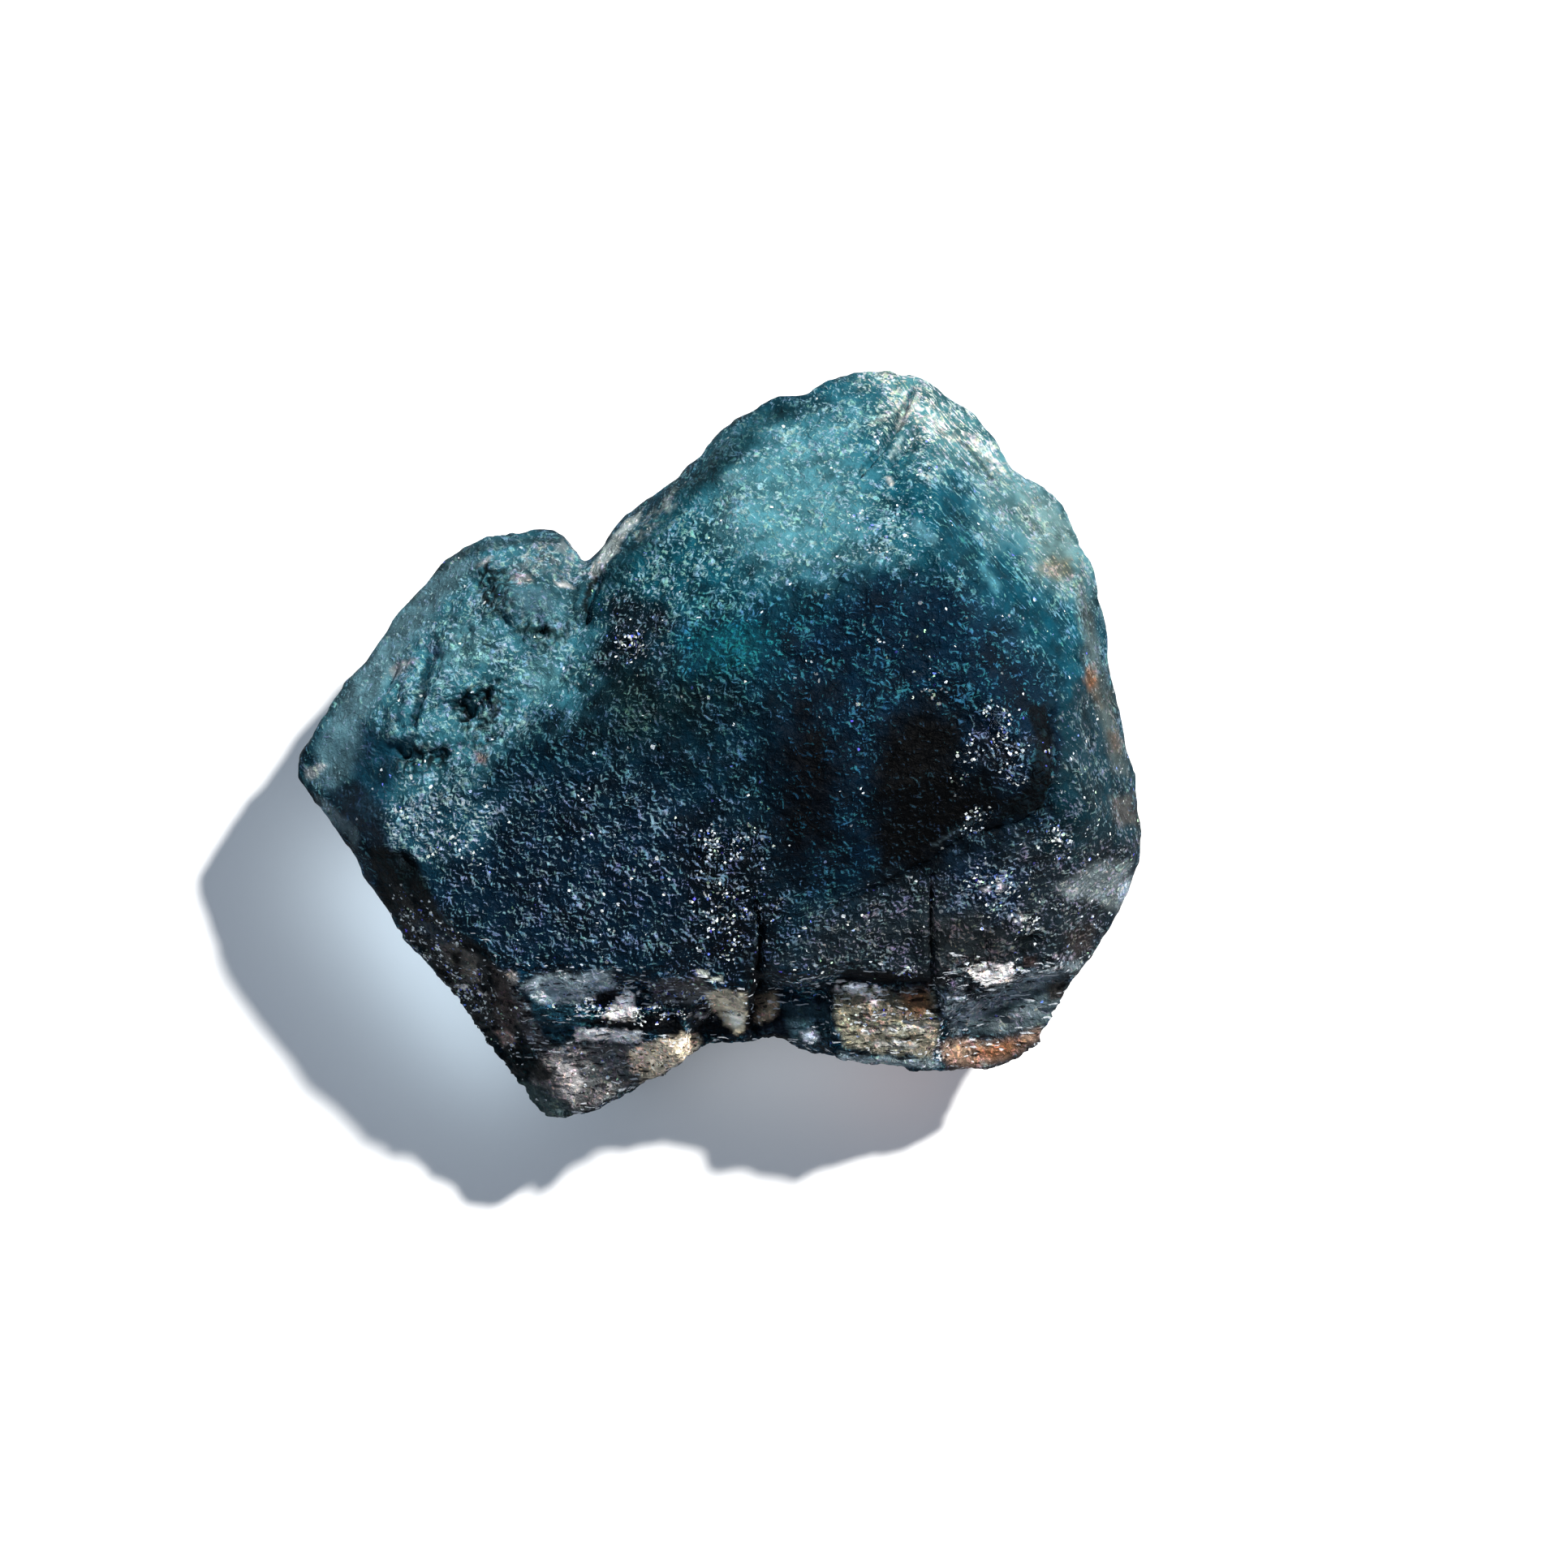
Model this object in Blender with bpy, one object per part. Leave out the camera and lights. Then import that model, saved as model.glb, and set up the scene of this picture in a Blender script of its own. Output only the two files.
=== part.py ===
"""Natural fluorite specimen: a broad octahedral crystal with a smaller crystal grown onto its left side.

Each crystal is the convex body that its faces leave of a block. The two are joined, trimmed to the
specimen's outline, broken down in ledges along the front, and etched. Sizes are in millimetres, as the
mesh is until it is scaled to metres at the end. +X is right, +Y is back and +Z is up; the flat
octahedral face that the stone lies on is at z = 0.
"""

import math

import bmesh
import bpy
from mathutils import Matrix, Vector, noise

MILLIMETRE = 0.001

# Driving dimensions.
LENGTH = 45.0  # left tip to right corner
GIRDLE = 9.0  # height of the widest part
GIRDLE_FALL, FRONT_START = 0.19, -2.0  # the girdle's fall towards the front, and where it starts
FOOT = 0.8  # size of the outline at the base, as a share of it at the girdle
RISER_LEAN = 0.28  # how far a riser leans back for each millimetre of height
CREST = 17.2  # height of the highest face
BLOCK = 120.0  # the block that a crystal is cut from
GRAIN = 0.32  # voxel that the joined crystals are remeshed with
TRIANGLES = 8600  # of the finished stone
BASE_CUT = 0.25  # what the flat resting face takes off the bottom

# The outline seen from above, clockwise from the left tip.
LEFT_CRYSTAL = (
    (-22.4, -1.7), (-22.1, -0.8), (-21.0, 1.1), (-19.8, 3.2), (-18.6, 4.1), (-17.7, 5.5), (-17.3, 6.5),
    (-15.7, 8.3), (-14.1, 9.6), (-13.2, 10.3), (-11.6, 10.7), (-8.8, 11.0), (-8.1, 10.6), (-7.4, 9.5),
)
NOTCH = ((-6.75, 9.0),)
BACK_LEFT = (
    (-6.1, 9.9), (-5.3, 11.3), (-3.8, 13.0), (-2.9, 13.3), (-0.8, 15.3), (0.0, 16.3), (1.9, 17.8),
    (3.0, 18.25), (4.6, 18.2), (5.7, 18.95), (7.1, 19.6),
)
APEX = ((8.4, 19.75), (9.2, 19.5), (9.7, 19.0), (10.2, 19.25), (11.0, 19.0))
BACK_RIGHT = (
    (12.4, 18.1), (13.6, 17.2), (14.5, 16.2), (15.4, 14.5), (17.3, 13.2), (18.3, 12.3), (18.7, 11.0),
    (19.5, 9.2), (20.1, 6.4), (21.1, 0.9),
)
RIGHT_CORNER = ((21.5, -0.9), (22.1, -2.1), (22.5, -4.2), (22.2, -6.1), (21.5, -8.0))
FRONT_RIGHT = (
    (20.05, -10.7), (18.45, -12.9), (18.0, -14.35), (17.1, -15.9), (15.3, -16.85), (14.25, -17.3),
)
FRONT = (
    (11.0, -17.2), (7.35, -16.7), (5.0, -16.15), (3.2, -15.3), (1.6, -15.65), (-0.85, -15.65),
    (-2.9, -17.4), (-3.9, -17.7), (-6.25, -19.3),
)
FRONT_TIP = ((-8.7, -20.1), (-9.45, -19.9), (-10.85, -18.15), (-11.5, -16.8))
LONG_EDGE = ((-14.3, -13.1), (-15.65, -11.25), (-16.8, -9.15), (-18.4, -6.9), (-19.1, -5.6), (-21.0, -3.5))
MAIN_OUTLINE = BACK_LEFT + APEX + BACK_RIGHT + RIGHT_CORNER + FRONT_RIGHT + FRONT + FRONT_TIP + LONG_EDGE
OUTLINE = LEFT_CRYSTAL + NOTCH + MAIN_OUTLINE

# Crystal faces: name, direction that the face looks in plan (degrees from +X, anticlockwise), its slope
# below level, and how far inside the crystal's outline it is at what height. Over 90 degrees of slope it
# looks down, and it starts at the outline.
MAIN_FACES = (
    ("broad face", 218, 14, 20.0, CREST - 0.2),
    ("dark plateau", 240, 2, 12.0, CREST),
    ("right shoulder", 22, 40, 6.6, CREST),
    ("right flank", 8, 62, 1.0, GIRDLE + 1.6),
    ("back right slope", 42, 50, 0.6, GIRDLE + 1.0),
    ("back slope", 104, 38, 0.5, GIRDLE + 0.8),
    ("back left slope", 133, 36, 1.9, GIRDLE + 3.2),
    ("back left bevel", 133, 60, 0.0, GIRDLE + 0.3),
    ("left bevel", 221, 57, 0.0, GIRDLE - 2.3),
    ("front slope", 281, 25, 12.8, CREST - 0.9),
    ("front right slope", 300, 34, 9.8, CREST - 1.7),
    ("front right flank", 328, 52, 0.8, GIRDLE + 0.8),
    ("under right", 12, 121, 0.0, GIRDLE),
    ("under back right", 43, 116, 0.0, GIRDLE),
    ("under back", 92, 122, 0.0, GIRDLE),
    ("under back left", 129, 117, 0.0, GIRDLE),
    ("under long edge", 211, 122, 0.0, GIRDLE),
    ("under front left", 262, 127, 0.0, GIRDLE - 3.6),
    ("under front right", 296, 118, 0.0, GIRDLE - 3.0),
    ("under right corner", 332, 120, 0.0, GIRDLE - 1.0),
    ("resting face", 0, 180, 0.0, 0.0),
)
LEFT_FACES = (
    ("crest face", 300, 7, 9.0, 13.3),
    ("outer facet", 140, 47, 0.7, GIRDLE + 0.9),
    ("back facet", 88, 50, 0.5, GIRDLE + 1.2),
    ("notch facet", 25, 52, 0.6, GIRDLE + 1.6),
    ("tip facet", 190, 30, 0.0, GIRDLE + 0.5),
    ("left bevel", 222, 50, 0.4, GIRDLE + 0.5),
    ("under outer", 142, 128, 0.0, GIRDLE),
    ("under back", 90, 124, 0.0, GIRDLE + 0.3),
    ("under tip", 192, 138, 0.0, GIRDLE + 0.2),
    ("under edge", 222, 128, 0.0, GIRDLE),
    ("inner side", 315, 90, 0.0, GIRDLE),
    ("underside", 0, 180, 0.0, 1.6),
)

# Ledges broken into the front: name, the line of the riser from left to right, the height of the tread at
# the riser's first point, the direction that the tread falls in plan and its slope.
LEDGES = (
    (
        "upper left ledge",
        ((-10.4, -13.2), (-8.6, -12.4), (-7.0, -12.9), (-5.2, -12.3), (-2.6, -12.8), (1.2, -13.2)),
        12.0, 262, 14,
    ),
    (
        "front tip",
        ((-11.6, -15.8), (-9.4, -14.5), (-7.0, -14.9), (-4.0, -14.4), (-1.4, -15.1), (-0.4, -15.8)),
        9.4, 248, 33,
    ),
    (
        "middle ledge",
        ((-1.6, -15.0), (0.2, -14.0), (1.7, -14.7), (2.5, -12.6), (4.2, -13.1), (5.7, -12.9)),
        9.6, 280, 14,
    ),
    (
        "right ledge",
        ((2.2, -12.7), (4.6, -13.0), (6.4, -12.1), (8.9, -12.5), (11.2, -12.4), (11.8, -13.9)),
        11.2, 268, 20,
    ),
)

# Shell-shaped chips: name, middle, radii and the direction that each runs in plan.
CHIPS = (
    ("right corner chip", (15.9, -16.0, 10.7), (5.6, 3.7, 3.3), 24),
    ("tip chip", (-6.0, -18.7, 11.5), (4.3, 3.4, 3.0), 30),
)

# Splits that run back from the front: the line of the split, its width at the front and its depth.
SPLITS = (
    ("front split", ((1.5, -15.8), (2.3, -12.0), (2.5, -9.4)), 0.9, 3.0),
    ("square split", ((11.2, -12.6), (11.25, -7.7)), 0.5, 1.6),
    ("apex split", ((9.8, 19.6), (8.6, 17.2), (7.1, 14.9)), 0.7, 1.4),
)

# Pits etched into the left crystal: centre in plan, length, width and the direction that it runs.
PITS = (
    ((-13.2, 1.9), 3.0, 1.5, 25),
    ((-16.3, -0.2), 3.4, 1.2, 15),
    ((-9.8, 6.0), 2.4, 1.1, 50),
    ((-16.9, 3.4), 2.6, 0.8, 65),
    ((-16.2, -6.4), 2.2, 1.1, 305),
)
PIT_DEPTH = 0.8


def mesh_object(name, bm):
    """An object in the scene with the mesh of bm, which it frees."""
    mesh = bpy.data.meshes.new(name)
    bmesh.ops.recalc_face_normals(bm, faces=bm.faces[:])
    bm.to_mesh(mesh)
    bm.free()
    made = bpy.data.objects.new(name, mesh)
    bpy.context.scene.collection.objects.link(made)
    return made


def facing(azimuth, slope):
    """The outward normal of a face that looks to azimuth in plan and falls away at slope, in degrees."""
    across, turn = math.radians(slope), math.radians(azimuth)
    return Vector((math.sin(across) * math.cos(turn), math.sin(across) * math.sin(turn), math.cos(across)))


def reach(outline, azimuth):
    """How far the outline goes from the middle in a direction in plan."""
    turn = math.radians(azimuth)
    return max(x * math.cos(turn) + y * math.sin(turn) for x, y in outline)


def crystal(name, outline, faces):
    """The convex body that these faces leave of the block."""
    bm = bmesh.new()
    bmesh.ops.create_cube(bm, size=BLOCK)
    for _, azimuth, slope, inset, height in faces:
        place = facing(azimuth, 90) * (reach(outline, azimuth) - inset) + Vector((0.0, 0.0, height))
        everything = bm.verts[:] + bm.edges[:] + bm.faces[:]
        cut = bmesh.ops.bisect_plane(
            bm, geom=everything, plane_co=place, plane_no=facing(azimuth, slope), clear_outer=True
        )
        rim = [item for item in cut["geom_cut"] if isinstance(item, bmesh.types.BMEdge)]
        if rim:
            bmesh.ops.edgeloop_fill(bm, edges=rim)
    return mesh_object(name, bm)


def loft(name, rings):
    """The body whose sides run from each ring of points to the next, closed at both ends."""
    bm = bmesh.new()
    made = [[bm.verts.new(point) for point in ring] for ring in rings]
    bm.faces.new(made[0])
    bm.faces.new(made[-1])
    for low, high in zip(made, made[1:]):
        for i in range(len(low)):
            j = (i + 1) % len(low)
            bm.faces.new((low[i], low[j], high[j], high[i]))
    return mesh_object(name, bm)


def girdle(y):
    """The height of the widest part, which comes down towards the front."""
    return GIRDLE - GIRDLE_FALL * max(0.0, FRONT_START - y)


def trim():
    """The body over the outline: upright above the girdle, and drawn in towards the base below it."""
    foot = [(x * FOOT, y * FOOT, -1.0) for x, y in OUTLINE]
    rim = [(x, y, girdle(y)) for x, y in OUTLINE]
    top = [(x, y, BLOCK / 3) for x, y in OUTLINE]
    return loft("outline", (foot, rim, top))


def ledge_cutter(name, riser, tread, azimuth, slope):
    """What a ledge lacks: everything in front of its riser, which leans back, and above its tread."""
    fall = facing(azimuth, 90) * math.tan(math.radians(slope))
    start = Vector((riser[0][0], riser[0][1], 0.0))
    in_front = ((riser[-1][0] + 2.0, -BLOCK / 3), (riser[0][0] - 2.0, -BLOCK / 3))
    low, high = [], []
    for x, y in riser + in_front:
        z = tread - fall.dot(Vector((x, y, 0.0)) - start)
        low.append((x, y, z))
        high.append((x, y + RISER_LEAN * (BLOCK / 3 - z), BLOCK / 3))
    return loft(name, (low, high))


def split_cutter(name, line, width, depth, top):
    """A slot along a line in plan, whose width falls to a quarter of it at the line's last point."""
    lefts, rights = [], []
    for i, (x, y) in enumerate(line):
        ahead, behind = line[min(i + 1, len(line) - 1)], line[max(i - 1, 0)]
        along = Vector((ahead[0] - behind[0], ahead[1] - behind[1])).normalized()
        half = width / 2 * (1 - 0.75 * i / (len(line) - 1))
        lefts.append((x - along.y * half, y + along.x * half))
        rights.append((x + along.y * half, y - along.x * half))
    plan = lefts + rights[::-1]
    return loft(name, [[(x, y, z) for x, y in plan] for z in (top - depth, BLOCK / 3)])


def chip_cutter(name, middle, radii, azimuth):
    """A ball drawn out to its radii, which leaves a shell-shaped hollow."""
    bm = bmesh.new()
    bmesh.ops.create_icosphere(bm, subdivisions=4, radius=1.0)
    turned = Matrix.Rotation(math.radians(azimuth), 4, "Z") @ Matrix.Diagonal((*radii, 1.0))
    bm.transform(Matrix.Translation(middle) @ turned)
    return mesh_object(name, bm)


def combine(target, other, operation):
    """Applies a Boolean of target with other, and removes other."""
    modifier = target.modifiers.new(other.name, "BOOLEAN")
    modifier.operation, modifier.object, modifier.solver = operation, other, "EXACT"
    apply_modifiers(target)
    bpy.data.objects.remove(other)


def apply_modifiers(target):
    """Gives target the mesh that its modifiers make of it."""
    graph = bpy.context.evaluated_depsgraph_get()
    made = bpy.data.meshes.new_from_object(target.evaluated_get(graph))
    target.modifiers.clear()
    target.data = made


def height_at(target, x, y):
    """The height of target's surface straight below a point in plan."""
    hit, place, _, _ = target.ray_cast(Vector((x, y, BLOCK)), Vector((0.0, 0.0, -1.0)))
    return place.z if hit else 0.0


def remesh(target, voxel):
    modifier = target.modifiers.new("Grain", "REMESH")
    modifier.mode, modifier.voxel_size = "VOXEL", voxel
    apply_modifiers(target)


def drop_grains(target):
    """Leaves only the largest connected piece: a cut can part a grain from the stone."""
    bm = bmesh.new()
    bm.from_mesh(target.data)
    unseen, pieces = set(bm.verts), []
    while unseen:
        piece, edge_of_piece = set(), [unseen.pop()]
        while edge_of_piece:
            vertex = edge_of_piece.pop()
            piece.add(vertex)
            near = {edge.other_vert(vertex) for edge in vertex.link_edges} & unseen
            unseen -= near
            edge_of_piece.extend(near)
        pieces.append(piece)
    pieces.sort(key=len)
    for grain in pieces[:-1]:
        bmesh.ops.delete(bm, geom=list(grain), context="VERTS")
    bm.to_mesh(target.data)
    bm.free()


def soften(target, rounds):
    """Wears the edges that the faces meet in."""
    modifier = target.modifiers.new("Wear", "SMOOTH")
    modifier.factor, modifier.iterations = 0.5, rounds
    apply_modifiers(target)


def pit_depth(place):
    """How deep the etched pits are at a place on the surface, in plan. Their edges are ragged."""
    depth = 0.0
    ragged = noise.noise_vector(place * 0.9) * 0.6
    for (x, y), length, width, azimuth in PITS:
        turn = math.radians(azimuth)
        dx, dy = place.x + ragged.x - x, place.y + ragged.y - y
        along = (dx * math.cos(turn) + dy * math.sin(turn)) / (length / 2)
        across = (dy * math.cos(turn) - dx * math.sin(turn)) / (width / 2)
        depth = max(depth, PIT_DEPTH * (1 - along * along - across * across))
    return depth


def relief(place, normal):
    """How far etching moves the surface in or out at a place: hummocks, growth hillocks and pits."""
    hummocks = 0.30 * noise.fractal(place * 0.16, 1.0, 2.0, 2)
    hillocks = 0.16 * noise.fractal(place * 0.55 + Vector((7.0, 3.0, 1.0)), 1.0, 2.0, 2)
    looks_up = max(0.0, normal.z)
    return hummocks + hillocks - pit_depth(place) * looks_up


def etch(target):
    """Moves the surface by relief, which dies out towards the resting face."""
    mesh = target.data
    moved = []
    for vertex in mesh.vertices:
        fade = min(1.0, max(0.0, (vertex.co.z - 2 * BASE_CUT) / 1.5))
        moved.append(vertex.co + vertex.normal * (fade * relief(vertex.co, vertex.normal)))
    for vertex, place in zip(mesh.vertices, moved):
        vertex.co = place
    mesh.update()


def thin_out(target, triangles):
    """Leaves about this many triangles, the most where the surface turns."""
    target.data.calc_loop_triangles()
    modifier = target.modifiers.new("Thin out", "DECIMATE")
    modifier.ratio = triangles / len(target.data.loop_triangles)
    apply_modifiers(target)


def flatten_base(target):
    """Cuts the bottom off level, for the face that the stone rests on."""
    bm = bmesh.new()
    bm.from_mesh(target.data)
    cut = bmesh.ops.bisect_plane(
        bm,
        geom=bm.verts[:] + bm.edges[:] + bm.faces[:],
        plane_co=(0.0, 0.0, BASE_CUT),
        plane_no=(0.0, 0.0, -1.0),
        clear_outer=True,
    )
    rim = [item for item in cut["geom_cut"] if isinstance(item, bmesh.types.BMEdge)]
    bmesh.ops.edgeloop_fill(bm, edges=rim)
    bmesh.ops.triangulate(bm, faces=bm.faces[:])
    bm.to_mesh(target.data)
    bm.free()


def stand_at_origin(target):
    """Scales the stone to its length in metres, with the middle of its bottom at the origin."""
    places = [vertex.co for vertex in target.data.vertices]
    low = Vector([min(place[axis] for place in places) for axis in range(3)])
    high = Vector([max(place[axis] for place in places) for axis in range(3)])
    middle = (low + high) / 2
    scale = LENGTH * MILLIMETRE / (high.x - low.x)
    target.data.transform(Matrix.Scale(scale, 4) @ Matrix.Translation((-middle.x, -middle.y, -low.z)))


def fluorite():
    """Translucent blue-green fluorite, frosted by etching."""
    material = bpy.data.materials.new("fluorite")
    material.use_nodes = True
    shader = material.node_tree.nodes["Principled BSDF"]
    shader.inputs["Base Color"].default_value = (0.03, 0.12, 0.16, 1.0)
    shader.inputs["Roughness"].default_value = 0.35
    shader.inputs["Metallic"].default_value = 0.0
    shader.inputs["IOR"].default_value = 1.434
    shader.inputs["Transmission Weight"].default_value = 0.5
    return material


def main():
    for old in list(bpy.data.objects):
        bpy.data.objects.remove(old)
    stone = crystal("fluorite_crystal", MAIN_OUTLINE, MAIN_FACES)
    combine(stone, crystal("left crystal", LEFT_CRYSTAL + NOTCH + LONG_EDGE, LEFT_FACES), "UNION")
    combine(stone, trim(), "INTERSECT")
    for name, line, width, depth in SPLITS:
        middle = line[len(line) // 2]
        top = height_at(stone, *middle)
        combine(stone, split_cutter(name, line, width, depth, top), "DIFFERENCE")
    for name, riser, tread, azimuth, slope in LEDGES:
        combine(stone, ledge_cutter(name, riser, tread, azimuth, slope), "DIFFERENCE")
    for name, middle, radii, azimuth in CHIPS:
        combine(stone, chip_cutter(name, middle, radii, azimuth), "DIFFERENCE")
    remesh(stone, GRAIN)
    drop_grains(stone)
    soften(stone, 2)
    etch(stone)
    thin_out(stone, TRIANGLES)
    flatten_base(stone)
    stand_at_origin(stone)
    stone.data.materials.clear()
    stone.data.materials.append(fluorite())


main()
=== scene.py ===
"""The etched fluorite specimen: a fine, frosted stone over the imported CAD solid, on a plain pale floor."""

import math

import bpy
import numpy as np
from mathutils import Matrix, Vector, noise


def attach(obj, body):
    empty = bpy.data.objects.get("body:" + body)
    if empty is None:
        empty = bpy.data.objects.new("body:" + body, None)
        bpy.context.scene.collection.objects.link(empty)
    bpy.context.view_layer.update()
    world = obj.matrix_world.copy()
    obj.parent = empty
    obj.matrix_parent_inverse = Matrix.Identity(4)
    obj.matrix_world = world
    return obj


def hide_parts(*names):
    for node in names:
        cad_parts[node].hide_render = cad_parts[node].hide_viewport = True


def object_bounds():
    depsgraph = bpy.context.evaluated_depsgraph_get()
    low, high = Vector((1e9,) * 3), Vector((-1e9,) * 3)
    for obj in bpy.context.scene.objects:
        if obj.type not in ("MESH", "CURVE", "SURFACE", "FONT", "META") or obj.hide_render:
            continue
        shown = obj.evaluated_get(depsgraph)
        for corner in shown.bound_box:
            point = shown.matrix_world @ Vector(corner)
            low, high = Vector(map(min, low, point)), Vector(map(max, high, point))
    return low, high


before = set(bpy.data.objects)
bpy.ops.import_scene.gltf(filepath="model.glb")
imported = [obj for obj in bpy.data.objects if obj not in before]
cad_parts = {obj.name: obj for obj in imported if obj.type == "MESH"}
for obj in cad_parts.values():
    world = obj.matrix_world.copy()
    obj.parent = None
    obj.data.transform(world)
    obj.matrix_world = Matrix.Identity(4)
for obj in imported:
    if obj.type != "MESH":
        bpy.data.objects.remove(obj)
cad_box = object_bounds()

MM = 0.001
NODE = "fluorite_crystal"

# The camera looks straight down. At the girdle's height a millimetre is PX_PER_MM pixels of the frame.
FRAME_PX = 1932
PX_PER_MM = 23.22
GIRDLE_MM = 9.3
CAMERA_MM = (3.4, -2.0)
CAMERA_ABOVE_GIRDLE_MM = 200.0
SENSOR_MM = 36.0

# The fine mesh. Fewer triangles are left below UNDERSIDE_MM.
VOXEL_MM = 0.185
SMOOTH_ROUNDS = 4
UNDERSIDE_MM = 6.5
UNDERSIDE_SHARE = 0.18

# The relief, in millimetres: how large its lumps are, and how high. The left crystal is etched more deeply.
HUMMOCK_MM, HUMMOCK_HEIGHT = 2.4, 0.09
ROUGH_MM, ROUGH_HEIGHT, ROUGH_LEFT = 0.8, 0.06, 0.10
FINE_MM, FINE_HEIGHT, FINE_LEFT = 0.42, 0.035, 0.06
CLEAVAGE_MM, CLEAVAGE_HEIGHT = 0.62, 0.12
BLOCK_MM, BLOCK_HEIGHT = (1.0, 0.5, 0.7), 0.11
GLINT_HEIGHT = 0.06
ETCHED_FROM_MM = (3.0, 7.0)
RESTING_MM = (0.25, 1.6)  # the relief fades out here, so that the resting face stays flat
CLEARANCE_MM = 0.004  # how far the relief stays inside the CAD box

# Colours of the skin where no zone is, and of the sides that face down: body, flecks and shares.
PLAIN = ((0, 32, 48), (60, 114, 130), (0.25, 0.08, 0.0))
SIDES = ((20, 60, 78), (104, 140, 152), (0.40, 0.10, 0.0))
# The colour of the painted shade in the etch pits.
PIT_SHADE = (0, 8, 12)
SUNLIT = 0.64  # how much of a colour, as it looks in the sun, the skin itself has
WHITE = 0.75  # faces and lines lighter than this are painted brighter still, as glints of the sun: painted highlights
BLACK = 0.015  # faces darker than this have no splinters
FRONT_SHADE = 0.35  # less sun falls on the front, so its faces are painted this much lighter
FRONT_STEPS_PX, FRONT_SHADE_PX = (1195, 1225), (1195, 1235)


def linear(value):
    value /= 255
    return value / 12.92 if value <= 0.04045 else ((value + 0.055) / 1.055) ** 2.4


def rgb(colour):
    """A linear colour from sRGB values out of 255."""
    return tuple(linear(value) for value in colour)


def opaque(colour):
    return rgb(colour) + (1.0,)


# ---------------------------------------- what is where on the stone
# Places, widths and softness of edges are in pixels of the frame, and colours are sRGB values out of 255.

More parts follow.
